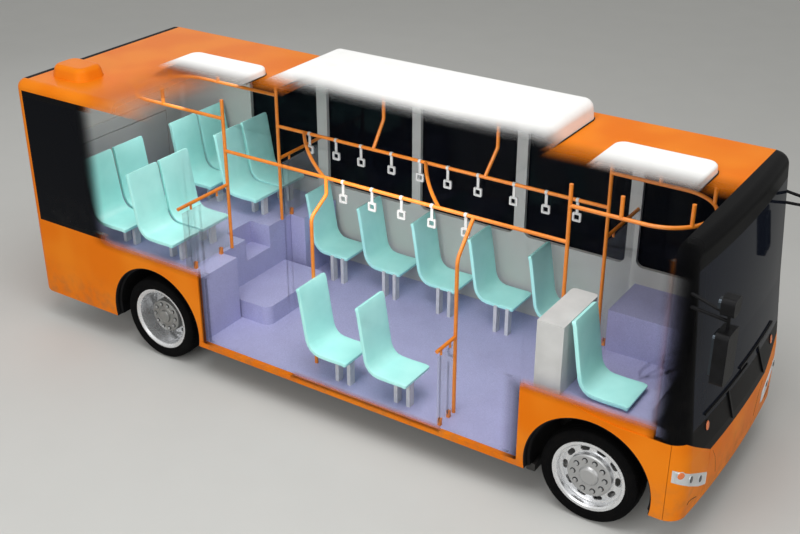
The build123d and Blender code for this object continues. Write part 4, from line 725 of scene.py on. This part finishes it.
# Mirror glass on the rearward faces of the four heads: middle height, height, width
MIRROR_Y = 1.12
for side, sign in SIDES:
    panes = []
    for middle_z, height, width in ((2.300, 0.088, 0.098), (1.900, 0.340, 0.150)):
        face, facing = touched("mirrors", (3.40, sign * MIRROR_Y, middle_z), (1, 0, 0))
        pane = cuboid((face.x - 0.0015, sign * MIRROR_Y - width / 2, middle_z - height / 2),
                      (face.x + 0.002, sign * MIRROR_Y + width / 2, middle_z + height / 2))
        only(pane)
        bpy.ops.object.mode_set(mode="EDIT")
        bpy.ops.mesh.select_all(action="DESELECT")
        bpy.ops.object.mode_set(mode="OBJECT")
        for edge in pane.data.edges:
            ends = [pane.data.vertices[at].co for at in edge.vertices]
            edge.select = abs(ends[0].x - ends[1].x) > 0.002
        bpy.ops.object.mode_set(mode="EDIT")
        bpy.ops.mesh.bevel(offset=0.03, segments=5, affect="EDGES")
        bpy.ops.object.mode_set(mode="OBJECT")
        panes.append(pane)
    settled(joined(panes), "mirror_glass_" + side, silvered, bevel=0.0004)

# Headlamps: amber indicator, two dark projector lenses, and a bright edge to the silver bowl as (across, height)
LENSES = (("indicator", 680.8, 476.0, 0.030, (1.0, 1.0), amber_lens, "tail_lens"),
          ("dip_lens", 690.8, 479.5, 0.028, (0.8, 1.1), dark_lens, "black_plastic"),
          ("main_lens", 699.8, 478.5, 0.028, (0.8, 1.1), dark_lens, "black_plastic"))
BOWL_EDGE = ((0.690, 0.452), (0.820, 0.512), (1.060, 0.660), (1.128, 0.702), (1.133, 0.790), (1.080, 0.766),
             (0.870, 0.652), (0.690, 0.553), (0.690, 0.452))
for side, sign in SIDES:
    for name, across, down, radius, stretch, finish, slot in LENSES:
        face, facing = pictured("headlamps", across, down, sign)
        settled(disc(face, facing, radius + 0.006, 0.006, 32, stretch), name + "_bezel_" + side, chrome,
                bevel=0.002)
        lens = disc(face + facing * 0.004, facing, radius, 0.010, 32, stretch)
        settled(lens, name + "_" + side, finish, bevel=0.004, segments=3)
    edge = []
    for across, height in BOWL_EDGE:
        face, facing = touched("headlamps", (4.0, sign * across, height), (-1, 0, 0))
        edge.append(face + facing * 0.001)
    settled(strand(edge, 0.007), "headlamp_edge_" + side, chrome)

# Amber repeaters low on the black mask, the joint between the corner panel and the bumper, and below it a black strand
# that is painted shade in a groove
OVAL = (0.72, 1.15)
JOINT_LINE = ((703.5, 446.5), (709.0, 447.5), (713.0, 450.5), (715.0, 456.0), (715.2, 463.0), (715.0, 471.5))
GROOVE_LINE = ((686.8, 505.0), (688.6, 501.6), (692.0, 498.8), (696.0, 496.6))
for side, sign in SIDES:
    face, facing = pictured("windscreen", 706.9, 425.0, sign)
    settled(disc(face, facing, 0.044, 0.010, 32, OVAL), "repeater_bezel_" + side, abs_black,
            bevel=0.003)
    settled(disc(face + facing * 0.004, facing, 0.036, 0.014, 32, OVAL), "repeater_" + side, amber_lens,
            bevel=0.006, segments=3)
    # The groove's black strand is painted shade, drawn where the groove lies in shade
    for name, line, radius in (("corner_joint_", JOINT_LINE, 0.0016), ("corner_groove_", GROOVE_LINE, 0.003)):
        points = [pictured("front_panels", across, down, sign)[0] for across, down in line]
        settled(strand(points, radius), name + side, seal_rubber)

# Gaskets between the roof and its three covers, as (rear end, front end, half width), just outside their corners
GASKET_Z = 2.626
COVER_CORNER = 0.11
gaskets = []
for aft, fore, half in ((-2.58, -1.62, 0.340), (-1.27, 1.58, 0.980), (2.02, 2.92, 0.400)):
    fore_x, aft_x, reach = fore - COVER_CORNER, aft + COVER_CORNER, half - COVER_CORNER
    line = []
    for quarter, (corner_x, corner_y) in enumerate(((fore_x, reach), (aft_x, reach), (aft_x, -reach),
                                                    (fore_x, -reach))):
        for step in (0, 30, 60, 90):
            turn = math.radians(90 * quarter + step)
            radius = COVER_CORNER + 0.004
            line.append((corner_x + radius * math.cos(turn), corner_y + radius * math.sin(turn), GASKET_Z))
    gaskets.append(strand(line + line[:1], 0.006))
settled(joined(gaskets), "cover_gaskets", seal_pods)

# Rear: lamp bezels, locks on the hatch and a bare plate with its lamp
TAIL_X = -3.6215
PLATE_BACK_X = -3.6185
for side, sign in SIDES:
    bars = [cuboid((TAIL_X, sign * 0.865, middle_z - 0.005), (-3.610, sign * 1.015, middle_z + 0.005))
            for middle_z in (0.970, 1.060, 0.880)]
    settled(joined(bars), "tail_lamp_bars_" + side, abs_black, bevel=0.002)
settled(cuboid((TAIL_X + 0.0003, -0.26, 1.18), (PLATE_BACK_X, 0.26, 1.29)), "plate_blank", plate_white,
        "hatch", bevel=0.001)
settled(cuboid((TAIL_X, -0.09, 1.30), (PLATE_BACK_X, 0.09, 1.322)), "plate_lamp", abs_black, "hatch",
        bevel=0.001)
locks = [disc((-3.6203, across, 0.560), (-1, 0, 0), 0.020, 0.002, 24) for across in (-0.70, 0.70)]
locks.append(cuboid((TAIL_X + 0.0002, -0.075, 0.520), (-3.6190, 0.075, 0.545)))
settled(joined(locks), "hatch_locks", zinc, "hatch", bevel=0.0004)

# Charging flap low on the left side, behind the rear wheel: its joint, two hinges and a push lock
FLAP_CORNERS = ((-3.34, 0.72), (-3.32, 0.70), (-2.98, 0.70), (-2.96, 0.72), (-2.96, 1.00), (-2.98, 1.02),
                (-3.32, 1.02), (-3.34, 1.00), (-3.34, 0.72))
outline = [touched("side_left", (corner_x, 2.0, corner_z), (0, -1, 0))[0] for corner_x, corner_z in FLAP_CORNERS]
settled(strand(outline, 0.0022), "charge_flap_joint", seal_rubber)
fittings = [disc((-3.00, 1.1505, 0.86), (0, 1, 0), 0.016, 0.003, 20)]
fittings += [cuboid((-3.352, 1.1495, hinge_z), (-3.322, 1.1530, hinge_z + 0.050)) for hinge_z in (0.75, 0.92)]
settled(joined(fittings), "charge_flap_fittings", zinc, bevel=0.0006)

# Upright rubber joints between the bonded panes, as stations behind the front axle
PANE_TOP_Z = 2.52
for side, sign, finish, stations in (("left", 1, seal_rubber, (4.215, 3.035, 1.842, 0.667)),
                                     ("right", -1, seal_faded, (4.075, 2.875))):
    joints = [cuboid((FRONT_AXLE_X - station - 0.004, sign * 1.149, WAIST_Z),
                     (FRONT_AXLE_X - station + 0.004, sign * 1.1506, PANE_TOP_Z)) for station in stations]
    settled(joined(joints), "pane_joints_" + side, finish, bevel=0.0005)


# Studio: each lamp's name, place, aim, size and power in watts. The camera sees none of them
LAMPS = (("key_lamp", (1.5, -3.0, 10.5), (0, 0, 0.8), 7.0, 620),
         ("fill_lamp", (1.5, -17.0, 8.0), (0, 0, 1.0), 10.0, 1000),
         ("back_lamp", (-8.0, 5.0, 6.0), (0, 0, 1.0), 5.0, 60),
         ("front_lamp", (10.0, -3.0, 4.0), (3.0, 0, 1.2), 5.0, 110),
         ("cabin_lamp", (-2.75, 0.0, 2.50), (-2.95, 0, 1.0), 1.3, 10),
         ("cabin_lamp_middle", (0.3, -0.6, 2.55), (0.3, 1.1, 1.7), 1.5, 12))
for name, place, target, size, power in LAMPS:
    bpy.ops.object.select_all(action="DESELECT")
    bpy.ops.object.light_add(type="AREA", location=place)
    lamp = bpy.context.object
    lamp.name = name
    lamp.data.size = size
    lamp.data.energy = power
    lamp.rotation_euler = (Vector(target) - Vector(place)).to_track_quat("-Z", "Y").to_euler()
    lamp.visible_camera = False

# The world lights the bus plainly, and the camera, bright metal and glass see a paler backdrop
world = bpy.data.worlds.new("studio")
bpy.context.scene.world = world
world.use_nodes = True
sky = world.node_tree
sky.nodes.clear()
rays = node(sky, "LightPath").node.outputs
backdrop_rays = merged(sky, "MAXIMUM", [rays[kind] for kind in ("Is Camera Ray", "Is Glossy Ray",
                                                               "Is Transmission Ray")])
plain = node(sky, "Background", ("#E8E8E6", 0.50))
backdrop = node(sky, "Background", ("#E4E4E2", 0.95))
node(sky, "OutputWorld", (node(sky, "MixShader", (backdrop_rays, plain, backdrop)),))

bpy.ops.object.select_all(action="DESELECT")
bpy.ops.mesh.primitive_plane_add(size=80, location=(0, 0, -0.001))
ground = bpy.context.object
ground.name = "studio_floor"
matt, tree, place = started("studio_floor_matt")
clouds = node(tree, "TexNoise", {"Vector": place, "Scale": 1 / 0.6})
ground.data.materials.append(finished(matt, tree, {
    "Base Color": node(tree, "Mix", {0: clouds, 6: "#C9C9C6", 7: "#CDCDCA"}, **COLOURS), "Roughness": 0.8,
    "Specular IOR Level": 0.1}))

bpy.ops.object.camera_add(location=CAMERA)
camera = bpy.context.object
camera.rotation_euler = AIM.to_track_quat("-Z", "Y").to_euler()
camera.data.lens = 53.27
camera.data.sensor_width = 36.0
bpy.context.scene.camera = camera
bpy.context.scene.view_settings.view_transform = "Standard"
